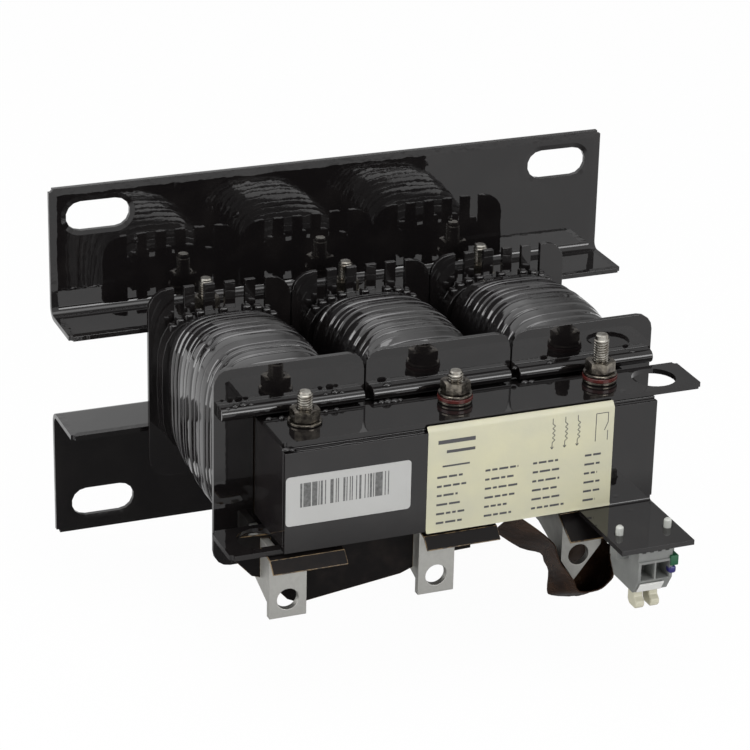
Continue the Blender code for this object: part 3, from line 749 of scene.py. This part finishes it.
def light_studio():
    """A white dome, dimmer behind on the right, and three large soft lamps."""
    world = bpy.data.worlds.new("dome")
    bpy.context.scene.world = world
    world.use_nodes = True
    tree = world.node_tree
    tree.nodes.clear()
    path = tree.nodes.new("ShaderNodeLightPath")
    seen = tree.nodes.new("ShaderNodeMath")
    seen.operation = "MAXIMUM"
    tree.links.new(path.outputs["Is Camera Ray"], seen.inputs[0])
    tree.links.new(path.outputs["Is Transmission Ray"], seen.inputs[1])
    way = tree.nodes.new("ShaderNodeTexCoord")
    split = tree.nodes.new("ShaderNodeSeparateXYZ")
    tree.links.new(way.outputs["Generated"], split.inputs[0])
    slide = tree.nodes.new("ShaderNodeMapRange")
    slide.inputs["From Min"].default_value = 0.22
    slide.inputs["From Max"].default_value = 0.46
    tree.links.new(split.outputs["X"], slide.inputs["Value"])
    behind = tree.nodes.new("ShaderNodeMapRange")
    behind.inputs["From Min"].default_value = 0.2
    behind.inputs["From Max"].default_value = 0.6
    tree.links.new(split.outputs["Y"], behind.inputs["Value"])
    shade = tree.nodes.new("ShaderNodeMath")
    shade.operation = "MULTIPLY"
    tree.links.new(slide.outputs["Result"], shade.inputs[0])
    tree.links.new(behind.outputs["Result"], shade.inputs[1])
    mirrored = tree.nodes.new("ShaderNodeMix")
    mirrored.inputs["A"].default_value = mirror_strength
    mirrored.inputs["B"].default_value = mirror_strength - mirror_drop
    tree.links.new(shade.outputs[0], mirrored.inputs["Factor"])
    glossy = tree.nodes.new("ShaderNodeMix")
    glossy.inputs["A"].default_value = dome_strength
    tree.links.new(mirrored.outputs["Result"], glossy.inputs["B"])
    tree.links.new(path.outputs["Is Glossy Ray"], glossy.inputs["Factor"])
    strength = tree.nodes.new("ShaderNodeMix")
    tree.links.new(seen.outputs[0], strength.inputs["Factor"])
    tree.links.new(glossy.outputs["Result"], strength.inputs["A"])
    strength.inputs["B"].default_value = 1.0
    background = tree.nodes.new("ShaderNodeBackground")
    background.inputs["Color"].default_value = colour(1.0, 1.0, 1.0)
    tree.links.new(strength.outputs["Result"], background.inputs["Strength"])
    output = tree.nodes.new("ShaderNodeOutputWorld")
    tree.links.new(background.outputs[0], output.inputs["Surface"])
    middle = Vector((0.0, -0.09, -0.06))
    add_lamp("left_softbox", (-1.3, -0.1, 0.35), middle, (1.0, 1.0), 10.0)
    add_lamp("top_softbox", (-0.1, -0.25, 1.5), middle, (1.4, 1.0), 9.0)
    add_lamp("front_softbox", middle + Vector(softbox_way) * softbox_reach, middle, (0.85, 0.6), 10.5)


def lay_floor():
    """A white floor that looks white to the camera and still takes a shadow; in the lacquer it shows a painted
    shade, a dark patch in front of and under the object.
    """
    bpy.ops.object.select_all(action="DESELECT")
    bpy.ops.mesh.primitive_plane_add(size=floor_size, location=(0.0, 0.0, floor_level))
    floor = bpy.context.active_object
    floor.name = "floor"
    paint = Paint("floor_white")
    matte = paint.node("ShaderNodeBsdfDiffuse", None, {"Color": colour(0.92, 0.92, 0.92)})
    glow = paint.node("ShaderNodeEmission", None, {"Color": colour(1.0, 1.0, 1.0), "Strength": 1.0})
    # Painted shade: a near-black diffuse that the lacquer mirrors in place of the floor in front of and under
    # the object
    painted_shade_dark = paint.node("ShaderNodeBsdfDiffuse", None, {"Color": colour(0.04, 0.04, 0.04)})
    x, y, _ = paint.axes()
    beside = paint.between(x.size(), *shade_side).most(paint.between(y, *shade_back))
    under = paint.between(y, *shade_front) * (1.0 - beside)
    path = paint.node("ShaderNodeLightPath", None, None, "Is Camera Ray")
    outputs = path.socket.node.outputs
    shown = path * 0.97 + Value(paint, outputs["Is Glossy Ray"]) * 0.66
    mixed = paint.node("ShaderNodeMixShader", None, {0: shown, 1: matte, 2: glow})
    # Glossy rays only: the painted shade is full in front of and under the object, and none beside or behind it
    mirrored = Value(paint, outputs["Is Glossy Ray"]) * under * shade_depth
    mixed = paint.node("ShaderNodeMixShader", None, {0: mirrored, 1: mixed, 2: painted_shade_dark})
    paint.node_output(mixed)
    floor.data.materials.append(paint.material)


def squared(angle, half_width, half_height):
    """A point of a rounded section that lies between an oval and a rectangle."""
    power = 2.0 / winding_squareness
    c = math.cos(angle)
    s = math.sin(angle)
    return (
        half_width * math.copysign(abs(c) ** power, c),
        half_height * math.copysign(abs(s) ** power, s),
    )


def wind_coil(label, material, seed):
    """One winding: a ring pulled along the limb, drawn in at each groove between turns."""
    dice = random.Random(seed)
    low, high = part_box("winding_" + label)
    centre = (low + high) / 2
    back = high.y
    front = low.y
    bpy.ops.object.select_all(action="DESELECT")
    bpy.ops.mesh.primitive_circle_add(vertices=winding_sides, radius=0.02, location=(0.0, 0.0, 0.0))
    item = bpy.context.active_object
    half_width = winding_end_width / 2 - turn_groove
    half_height = winding_end_height / 2 - turn_groove
    for vertex in item.data.vertices:
        angle = math.atan2(vertex.co.y, vertex.co.x)
        x, z = squared(angle, half_width, half_height)
        vertex.co = (centre.x + x, back, centre.z + z)
    open_mesh(item)
    widths = [dice.uniform(0.72, 1.32) for _ in range(turn_count)]
    grooves = [dice.choice((0.25, 0.6, 0.8, 1.0)) for _ in range(turn_count + 1)]
    unit = (back - front) / sum(widths)
    shares = ((0.05, 0.9), (0.09, 0.4), (0.15, 0.08), (0.22, 0.0), (0.78, 0.0), (0.85, 0.08), (0.91, 0.4))
    shares += ((0.95, 0.9), (1.0, 1.0))
    start = back
    y = back
    for index in range(turn_count):
        pitch = unit * widths[index]
        wander = dice.uniform(-1.0, 1.0) * turn_wander
        lift = dice.uniform(-1.0, 1.0) * turn_wander
        slope = dice.uniform(-1.0, 1.0) * turn_slope
        tilt = dice.uniform(-1.0, 1.0) * turn_tilt
        lean = dice.uniform(-1.0, 1.0) * turn_tilt
        for share, depth in shares:
            target = start - pitch * share
            way = (back - target) / (back - front)
            swell = 1.0 - (2.0 * way - 1.0) ** 2
            groove = grooves[index] if share < 0.5 else grooves[index + 1]
            inset = depth * turn_groove * groove
            new_width = winding_end_width / 2 + winding_side_swell * swell - inset
            new_height = winding_end_height / 2 + winding_top_swell * swell - inset
            if share < 1.0:
                ease = (1.0 - 2.0 * share) * slope
                new_width += wander + ease
                new_height += lift + ease
            step = {"value": (0.0, target - y, 0.0)}
            bpy.ops.mesh.extrude_region_move(TRANSFORM_OT_translate=step)
            ratio = (new_width / half_width, 1.0, new_height / half_height)
            middle = (centre.x, target, centre.z)
            bpy.ops.transform.resize(value=ratio, center_override=middle)
            if share in (0.22, 0.78):
                turned = tilt if share == 0.22 else -tilt
                tipped = lean if share == 0.22 else -lean
                bpy.ops.transform.rotate(value=turned, orient_axis="Z", center_override=middle)
                bpy.ops.transform.rotate(value=tipped, orient_axis="X", center_override=middle)
            half_width = new_width
            half_height = new_height
            y = target
        start -= pitch
    inner = (
        (half_width - winding_wall) / half_width,
        1.0,
        (half_height - winding_wall) / half_height,
    )
    bpy.ops.mesh.extrude_region_move()
    bpy.ops.transform.resize(value=inner, center_override=(centre.x, y, centre.z))
    bpy.ops.mesh.extrude_region_move(TRANSFORM_OT_translate={"value": (0.0, back - front, 0.0)})
    select_where(item, lambda spot: spot.y > back - 0.2 * MM, "edges")
    bpy.ops.mesh.bridge_edge_loops()
    close_mesh()
    outward(item)
    return settle(item, "winding_turns_" + label, material, "lacquered_wire", "winding_" + label, smooth=60)


def build_hexagon(height, bore):
    """A hexagon with turned corners, and a bore for a nut or none for a head."""
    corner = nut_flats / math.sqrt(3.0)
    bpy.ops.object.select_all(action="DESELECT")
    bpy.ops.mesh.primitive_cylinder_add(vertices=6, radius=corner, depth=height, location=(0, 0, height / 2))
    item = bpy.context.active_object
    bpy.ops.object.transform_apply(location=True, rotation=True, scale=True)
    flat = nut_flats / 2 * 0.96
    fall = (corner - flat) * 0.45
    wide = corner * 1.02
    profile = [(0.0, -0.00001), (flat, -0.00001), (wide, fall), (wide, height - fall), (flat, height + 0.00001)]
    profile += [(0.0, height + 0.00001)]
    cut_away(item, turn(profile, closed=False), "INTERSECT")
    if bore:
        sink = 0.45 * MM
        hole = [(0.0, -0.001), (bore + sink + 0.001, -0.001), (bore, sink), (bore, height - sink)]
        hole += [(bore + sink + 0.001, height + 0.001), (0.0, height + 0.001)]
        cut_away(item, turn(hole, closed=False))
    soften(item, 0.09 * MM, 2, 25)
    return item


def build_stud(length, thread_length):
    """A stud along +Z from the origin, threaded over its upper end."""
    smooth_top = length - thread_length
    tip = 0.55 * MM
    core = [
        (0.0, 0.0), (thread_crest, 0.0), (thread_crest, smooth_top), (thread_root, smooth_top + 0.3 * MM),
        (thread_root, length - tip), (thread_root - 0.45 * MM, length), (0.0, length),
    ]
    rod = turn(core, closed=False, steps=24)
    half = thread_pitch / 2
    ridge = [
        (thread_root - 0.1 * MM, 0.0, -half * 0.86), (thread_crest, 0.0, -half * 0.16),
        (thread_crest, 0.0, half * 0.16), (thread_root - 0.1 * MM, 0.0, half * 0.86),
    ]
    start = smooth_top + thread_pitch
    item = draw_profile([(x, y, z + start) for x, y, z in ridge], True)
    turns = int((thread_length - tip - 0.5 * MM - thread_pitch) / thread_pitch)
    settings = {"screw_offset": thread_pitch, "iterations": turns, "steps": thread_steps}
    settings["render_steps"] = thread_steps
    settings["use_merge_vertices"] = False
    add_modifier(item, "SCREW", angle=math.tau, axis="Z", **settings)
    open_mesh(item)
    bpy.ops.mesh.remove_doubles(threshold=0.000002)
    bpy.ops.mesh.select_all(action="DESELECT")
    bpy.ops.mesh.select_non_manifold()
    bpy.ops.mesh.fill_holes(sides=0)
    close_mesh()
    outward(item)
    return combine([rod, item])


def dress_washer(node, material, slot, bevel):
    low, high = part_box(node)
    centre = (low + high) / 2
    outer = (high.x - low.x) / 2
    thick = high.z - low.z
    inner = 3.2 * MM
    profile = [
        (inner, 0.0), (outer - bevel, 0.0), (outer, bevel), (outer, thick - bevel),
        (outer - bevel, thick), (inner, thick),
    ]
    item = turn(profile)
    shift(item, (centre.x, centre.y, low.z))
    settle(item, node + "_finish", material, slot, node)


def fasten(zinc, dark_steel, fibre):
    """Studs with real threads, hexagons with turned corners, and round washers."""
    nut = build_hexagon(4.5 * MM, thread_crest + 0.05 * MM)
    head = build_hexagon(4.0 * MM, 0.0)
    for row in ("rear", "front"):
        for label in LABELS:
            tail = row + "_" + label
            low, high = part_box("clamp_bolt_" + tail)
            centre = (low + high) / 2
            nut_low, nut_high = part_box("clamp_nut_" + tail)
            length = high.z - low.z - 3.9 * MM
            stud = build_stud(length, high.z - nut_low.z)
            shift(stud, (centre.x, centre.y, low.z + 3.9 * MM))
            bolt = combine([stud, shift(copy_of(head), (centre.x, centre.y, low.z))])
            settle(bolt, "clamp_bolt_" + tail + "_finish", zinc, "zinc_plated_steel", "clamp_bolt_" + tail)
            piece = copy_of(nut)
            shift(piece, (centre.x, centre.y, nut_low.z))
            settle(piece, "clamp_nut_" + tail + "_finish", dark_steel, "zinc_plated_steel", "clamp_nut_" + tail)
            dress_washer("washer_top_" + tail, dark_steel, "zinc_plated_steel", 0.22 * MM)
            dress_washer("washer_bottom_" + tail, dark_steel, "zinc_plated_steel", 0.22 * MM)
    for label in ("b", "c"):
        dress_washer("washer_base_front_" + label, dark_steel, "zinc_plated_steel", 0.22 * MM)
        dress_washer("insulating_washer_front_" + label, fibre, "red_fibre", 0.15 * MM)
    bpy.data.objects.remove(nut, do_unlink=True)
    bpy.data.objects.remove(head, do_unlink=True)


def add_knobs(label, material):
    """Wire guide knobs in a row over the collar behind the winding."""
    low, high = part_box("winding_" + label)
    centre = (low + high) / 2
    collar_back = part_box("bobbin_" + label)[1].y - 2.0 * MM
    y = (high.y + collar_back) / 2
    pieces = []
    half_width = 52.8 * MM / 2
    half_height = 59.0 * MM / 2
    for index in range(knob_count):
        angle = math.radians(48 + 84 * index / (knob_count - 1))
        x, z = squared(angle, half_width, half_height)
        spot = Vector((centre.x + x, y, centre.z + z + knob_height * 0.2))
        half = Vector((knob_width / 2, knob_depth, knob_height / 2))
        item = add_box(spot - half, spot + half)
        soften(item, 0.7 * MM, 3)
        pieces.append(item)
    settle(combine(pieces), "guide_knobs_" + label, material, "bobbin_moulding")


def stick_label(name, corners, radius, material, slot, folds=()):
    """A thin film with round corners on the front sheet."""
    (left, bottom), (right, top) = corners
    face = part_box("front_yoke")[0].y - sheet_front
    bpy.ops.object.select_all(action="DESELECT")
    bpy.ops.mesh.primitive_plane_add(size=1.0, rotation=(math.radians(90), 0.0, 0.0))
    item = bpy.context.active_object
    bpy.ops.object.transform_apply(location=True, rotation=True, scale=True)
    open_mesh(item)
    bpy.ops.transform.resize(value=(right - left, 1.0, top - bottom))
    middle = ((left + right) / 2, face - 0.02 * MM, (bottom + top) / 2)
    bpy.ops.transform.translate(value=middle)
    bpy.ops.mesh.bevel(offset=radius, segments=5, affect="VERTICES")
    for level, push in folds:
        bpy.ops.mesh.select_all(action="SELECT")
        bpy.ops.mesh.bisect(plane_co=(0.0, 0.0, level), plane_no=(0.0, 0.0, 1.0))
        above = level > middle[2]
        select_where(item, lambda spot: abs(spot.z - middle[2]) > abs(level - middle[2]) + 0.01 * MM
                     and (spot.z > middle[2]) == above, "verts")
        bpy.ops.transform.translate(value=(0.0, push, 0.0))
    bpy.ops.mesh.select_all(action="SELECT")
    bpy.ops.mesh.extrude_region_move(TRANSFORM_OT_translate={"value": (0.0, -label_sheet, 0.0)})
    close_mesh()
    outward(item)
    return settle(item, name, material, slot)


def build_marks(material):
    """Generic plate contents: three coil signs, a switch sign and ruled rows in place of words."""
    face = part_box("front_yoke")[0].y - sheet_front - label_sheet - 0.02 * MM
    (left, bottom), (right, top) = rating_plate
    line = 0.30 * MM
    marks = []

    def stroke(x0, z0, x1, z1, width=line):
        along = Vector((x1 - x0, 0.0, z1 - z0))
        side = Vector((-along.z, 0.0, along.x)).normalized() * width / 2
        a = Vector((x0, face, z0))
        b = Vector((x1, face, z1))
        corners = [a - side, b - side, b + side, a + side]
        marks.append(extrude_outline(corners, (0.0, -0.02 * MM, 0.0)))

    for index in range(3):
        x = left + (50.5 + 5.2 * index) * MM
        stroke(x, top - 3.4 * MM, x, top - 5.6 * MM)
        for bump in range(4):
            z = top - (5.6 + 1.9 * bump) * MM
            stroke(x, z, x + 1.1 * MM, z - 0.95 * MM)
            stroke(x + 1.1 * MM, z - 0.95 * MM, x, z - 1.9 * MM)
        stroke(x, top - 13.2 * MM, x, top - 15.6 * MM)
        stroke(x - 0.6 * MM, top - 15.0 * MM, x, top - 15.9 * MM)
        stroke(x + 0.6 * MM, top - 15.0 * MM, x, top - 15.9 * MM)
    x = left + 68.5 * MM
    stroke(x, top - 4.0 * MM, x, top - 15.4 * MM)
    stroke(x, top - 4.0 * MM, x + 5.0 * MM, top - 4.0 * MM)
    stroke(x + 5.0 * MM, top - 4.0 * MM, x + 5.0 * MM, top - 8.0 * MM)
    stroke(x + 5.0 * MM, top - 8.0 * MM, x + 3.6 * MM, top - 11.2 * MM)
    stroke(x + 5.0 * MM, top - 11.4 * MM, x + 5.0 * MM, top - 15.4 * MM)
    dice = random.Random(11)
    for row in range(6):
        z = bottom + (3.6 + 3.75 * row) * MM
        starts = ((4.0, 10.5), (23.5, 11.0), (43.0, 12.0), (64.5, 7.0))
        for start, length in starts:
            x = left + start * MM
            end = x + (length + dice.uniform(-2.0, 2.5)) * MM
            while x < end:
                word = dice.uniform(1.4, 4.4) * MM
                stroke(x, z, min(x + word, end), z, 0.85 * MM)
                x += word + 0.7 * MM
    stroke(left + 4.0 * MM, top - 6.5 * MM, left + 19.0 * MM, top - 6.5 * MM, 1.6 * MM)
    stroke(left + 7.5 * MM, top - 10.6 * MM, left + 19.0 * MM, top - 10.6 * MM, 1.2 * MM)
    stroke(left + 6.0 * MM, top - 16.4 * MM, left + 17.0 * MM, top - 16.4 * MM, 0.7 * MM)
    settle(combine(marks), "rating_plate_marks", material, "white_marker")


def dress_frame(lacquer, bracket_lacquer, core_lacquer, board, board_edge, aluminium, bobbin):
    """Softened edges for brackets, plates, yokes, moulded bobbins, boards and flags."""
    for node in ("upper_bracket", "lower_bracket"):
        dress(node, 0.35 * MM, bracket_lacquer, "black_lacquer", 3, 50)
    for node in ("top_clamp_plate", "bottom_clamp_plate", "terminal_bracket"):
        dress(node, 0.45 * MM, lacquer, "black_lacquer", 3)
    for node in ("rear_yoke", "front_yoke"):
        dress(node, 0.6 * MM, core_lacquer, "core_iron", 3)
    for label in LABELS:
        dress("bobbin_" + label, 0.75 * MM, bobbin, "bobbin_moulding", 3, 40)
        dress("terminal_flag_" + label, 0.25 * MM, aluminium, "aluminium", 2)
        dress_board("insulating_flap_" + label, 0.15 * MM, 20, board, board_edge)
    dress_board("insulating_card", 0.15 * MM, 30, board, board_edge)
    trim_card()


def dress_board(node, width, angle, board, edge):
    """A board whose narrow cut edges take their own finish."""
    item = dress(node, width, board, "black_board", 2, angle)
    item.data.materials.append(edge)
    for face in item.data.polygons:
        corners = [item.data.vertices[index].co for index in face.vertices]
        around = sum((a - b).length for a, b in zip(corners, corners[1:] + corners[:1]))
        if 2.0 * face.area / around < board_edge_width:
            face.material_index = 1


def trim_card():
    """Bring the card's lower edge to where the photographed one hangs."""
    item = bpy.data.objects["insulating_card_finish"]
    for vertex in item.data.vertices:
        if vertex.co.z > card_hem_top:
            continue
        for place, push in card_hem_moves:
            if abs(vertex.co.x - place) < 0.8 * MM:
                vertex.co.z += push


def build_drop():
    """A lacquer drop of unit radius, flat underneath."""
    bpy.ops.object.select_all(action="DESELECT")
    bpy.ops.mesh.primitive_uv_sphere_add(segments=16, ring_count=10, radius=1.0, location=(0.0, 0.0, 0.0))
    item = bpy.context.active_object
    open_mesh(item)
    bpy.ops.mesh.bisect(
        plane_co=(0.0, 0.0, -0.55), plane_no=(0.0, 0.0, 1.0), use_fill=True, clear_inner=True
    )
    bpy.ops.mesh.select_all(action="SELECT")
    bpy.ops.transform.resize(value=(1.0, 1.0, drop_flatness))
    close_mesh()
    return item


def add_drops(name, drops, seed, material):
    """Drops of mixed shapes, each sunk a little into what carries it."""
    dice = random.Random(seed)
    model = build_drop()
    pieces = []
    for x, y, z, radius in drops:
        piece = copy_of(model)
        grown = radius * drop_growth
        stretch = Matrix.Diagonal((grown * dice.uniform(0.85, 1.35), grown * 0.85, grown, 1.0))
        piece.data.transform(Matrix.Scale(MM, 4) @ Matrix.Translation((x, y, z)) @ stretch)
        pieces.append(piece)
    bpy.data.objects.remove(model, do_unlink=True)
    settle(combine(pieces), name, material, "black_lacquer", smooth=60)


def build_ledge(material):
    """Lacquer that set in an uneven roll along the top of the front sheet."""
    dice = random.Random(5)
    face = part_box("front_yoke")[0].y
    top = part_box("terminal_bracket")[1].z
    low = (ledge_start, face - ledge_depth, top - 0.1 * MM)
    item = add_box(low, (ledge_end, face - 0.1 * MM, top + ledge_height))
    open_mesh(item)
    for cut in range(1, 16):
        x = ledge_start + (ledge_end - ledge_start) * cut / 16
        bpy.ops.mesh.select_all(action="SELECT")
        bpy.ops.mesh.bisect(plane_co=(x, 0.0, 0.0), plane_no=(1.0, 0.0, 0.0))
    for cut in range(17):
        x = ledge_start + (ledge_end - ledge_start) * cut / 16
        near = 0.05 * MM
        upper = top + ledge_height / 2
        select_where(item, lambda spot: abs(spot.x - x) < near and spot.z > upper, "verts")
        bpy.ops.transform.translate(value=(0.0, 0.0, -dice.uniform(0.0, 0.7) * ledge_height))
    close_mesh()
    soften(item, 0.3 * MM, 3)
    settle(item, "sheet_top_ledge", material, "black_lacquer", smooth=60)


def add_amber(material):
    """Amber varnish that set beside the top of each flag's leg."""
    for index, label in enumerate(LABELS):
        low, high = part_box("terminal_flag_" + label)
        half = Vector(amber_size) / 2
        sheet_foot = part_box("front_yoke")[0].z - amber_size[2]
        spot = Vector((low.x - amber_aside, low.y + half.y, sheet_foot - amber_drop - half.z))
        item = add_box(spot - half, spot + half)
        open_mesh(item)
        select_where(item, lambda place: place.x < spot.x and place.z < spot.z, "verts")
        bpy.ops.transform.translate(value=(half.x * 0.5, 0.0, half.z * (0.4 + 0.3 * index)))
        close_mesh()
        soften(item, 0.55 * MM, 3, 20)
        settle(item, "leg_varnish_" + label, material, "varnished_paper", smooth=60)


def build_paper_fold(material):
    """The paper's crumpled inner fold, which closes the sleeve behind the third flag."""
    source = copy_node("insulating_paper")
    back = max(vertex.co.y for vertex in source.data.vertices)
    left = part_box("terminal_flag_c")[0].x + 0.8 * MM
    near = [vertex.co.copy() for vertex in source.data.vertices if vertex.co.y > back - 2.5 * MM]
    rim = [spot for spot in near if spot.x > left]
    bpy.data.objects.remove(source, do_unlink=True)
    centre = sum(rim, Vector()) / len(rim)
    steps = 40
    outline = []
    for step in range(steps):
        angle = math.tau * step / steps
        way = Vector((math.cos(angle), 0.0, math.sin(angle)))
        ahead = [spot for spot in rim if (spot - centre).normalized().dot(way) > 0.97]
        if ahead:
            reach = min((spot - centre).length for spot in ahead)
            outline.append((centre.x + way.x * reach, back - 1.5 * MM, centre.z + way.z * reach))
    item = draw_profile(outline, True)
    open_mesh(item)
    bpy.ops.mesh.edge_face_add()
    for push, shrink in paper_fold_steps:
        bpy.ops.mesh.extrude_region_move()
        bpy.ops.transform.resize(value=(shrink, 1.0, shrink), center_override=centre)
        bpy.ops.transform.translate(value=(0.0, push, 0.0))
    bpy.ops.mesh.poke()
    bpy.ops.mesh.select_all(action="SELECT")
    bpy.ops.mesh.quads_convert_to_tris()
    bpy.ops.mesh.subdivide(number_cuts=2, smoothness=0.4, fractal=0.35, seed=4)
    close_mesh()
    add_modifier(item, "SOLIDIFY", thickness=0.25 * MM)
    outward(item)
    settle(item, "paper_inner_fold", material, "varnished_paper", smooth=70)


def dress_block(grey, ivory, white, green, blue, steel):
    """Terminal block: housing, levers, marker, side tabs and the contact springs in its entries."""
    dress("terminal_block", 0.2 * MM, grey, "grey_moulding", 2)
    dress("marker_strip", 0.1 * MM, white, "white_marker", 1)
    for label in ("a", "b"):
        dress("release_lever_" + label, 0.5 * MM, ivory, "ivory_moulding", 3)
    low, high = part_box("terminal_block")
    middle = (low.x + high.x) / 2
    side = middle + tab_left
    far = side + tab_width
    top = high.z - 4.8 * MM - 4.9 * MM
    tab = add_box((side, low.y - 0.5 * MM, top - 4.2 * MM), (far, low.y + 4.2 * MM, top))
    soften(tab, 0.4 * MM, 2)
    settle(tab, "side_tab_green", green, "grey_moulding")
    tab = add_box((side - 0.4 * MM, low.y - 0.4 * MM, top - 7.6 * MM), (far - 0.6 * MM, low.y + 3.0 * MM, top - 4.5 * MM))
    soften(tab, 1.0 * MM, 3)
    settle(tab, "side_tab_blue", blue, "grey_moulding")
    for index, column in enumerate(contact_columns):
        corner = Vector((middle + column, low.y + 1.4 * MM, high.z - contact_drop - contact_size[2]))
        contact = add_box(corner, corner + Vector(contact_size))
        soften(contact, 0.3 * MM, 3)
        settle(contact, "contact_spring_" + LABELS[index], steel, "zinc_plated_steel")


def finish_inner_nodes(core_lacquer, gap_board):
    """Materials for the inner nodes that keep their own meshes."""
    for label in LABELS:
        for node, material in (("core_limb_", core_lacquer), ("gap_spacer_", gap_board)):
            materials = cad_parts[node + label].data.materials
            materials.clear()
            materials.append(material)


def main():
    set_camera()
    light_studio()
    lay_floor()
    lacquer = make_lacquer("dip_lacquer")
    bracket_lacquer = make_bracket_lacquer()
    core_lacquer = make_lacquer("core_lacquer", 1.4, 0.00010, 0.6)
    bobbin = make_lacquer("bobbin_lacquer", 1.0, 0.00020)
    wire = make_wire_lacquer()
    zinc = make_zinc()
    dark_steel = make_dark_steel()
    fibre = make_fibre()
    aluminium = make_aluminium()
    board = make_board()
    paper = make_paper()
    grey = make_block_plastic()
    ivory = make_plastic("lever_ivory", colour(0.58, 0.56, 0.44), colour(0.50, 0.48, 0.37), 0.35)
    white = make_plastic("marker_white", colour(0.66, 0.66, 0.64), colour(0.60, 0.60, 0.58), 0.45)
    green = make_plastic("tab_green", colour(0.012, 0.11, 0.045), colour(0.008, 0.07, 0.03), 0.30)
    blue = make_plastic("tab_blue", colour(0.025, 0.022, 0.16), colour(0.015, 0.012, 0.10), 0.30)
    ink = make_flat("print_ink", colour(0.055, 0.055, 0.060), 0.45)

    board_edge = make_board_edge()
    dress_frame(lacquer, bracket_lacquer, core_lacquer, board, board_edge, aluminium, bobbin)
    for index, label in enumerate(LABELS):
        wind_coil(label, wire, 20 + index)
        add_knobs(label, bobbin)
    fasten(zinc, dark_steel, fibre)
    dress_block(grey, ivory, white, green, blue, zinc)
    dress("insulating_paper", 0.15 * MM, paper, "varnished_paper", 1, 50)
    stick_label("white_label", white_label, white_label_corner, make_white_label(), "white_marker")
    folds = ((film_fold, film_lean), (film_curl_start, -film_curl))
    stick_label("rating_plate", rating_plate, rating_plate_corner, make_plate_base(), "white_marker", folds)
    build_marks(ink)
    add_drops("rib_drops", rib_drops, 31, lacquer)
    add_drops("seam_drops", seam_drops, 32, lacquer)
    build_ledge(lacquer)
    add_amber(make_amber())
    build_paper_fold(paper)
    finish_inner_nodes(core_lacquer, make_gap_board())


main()
bpy.context.scene.view_settings.view_transform = "Standard"
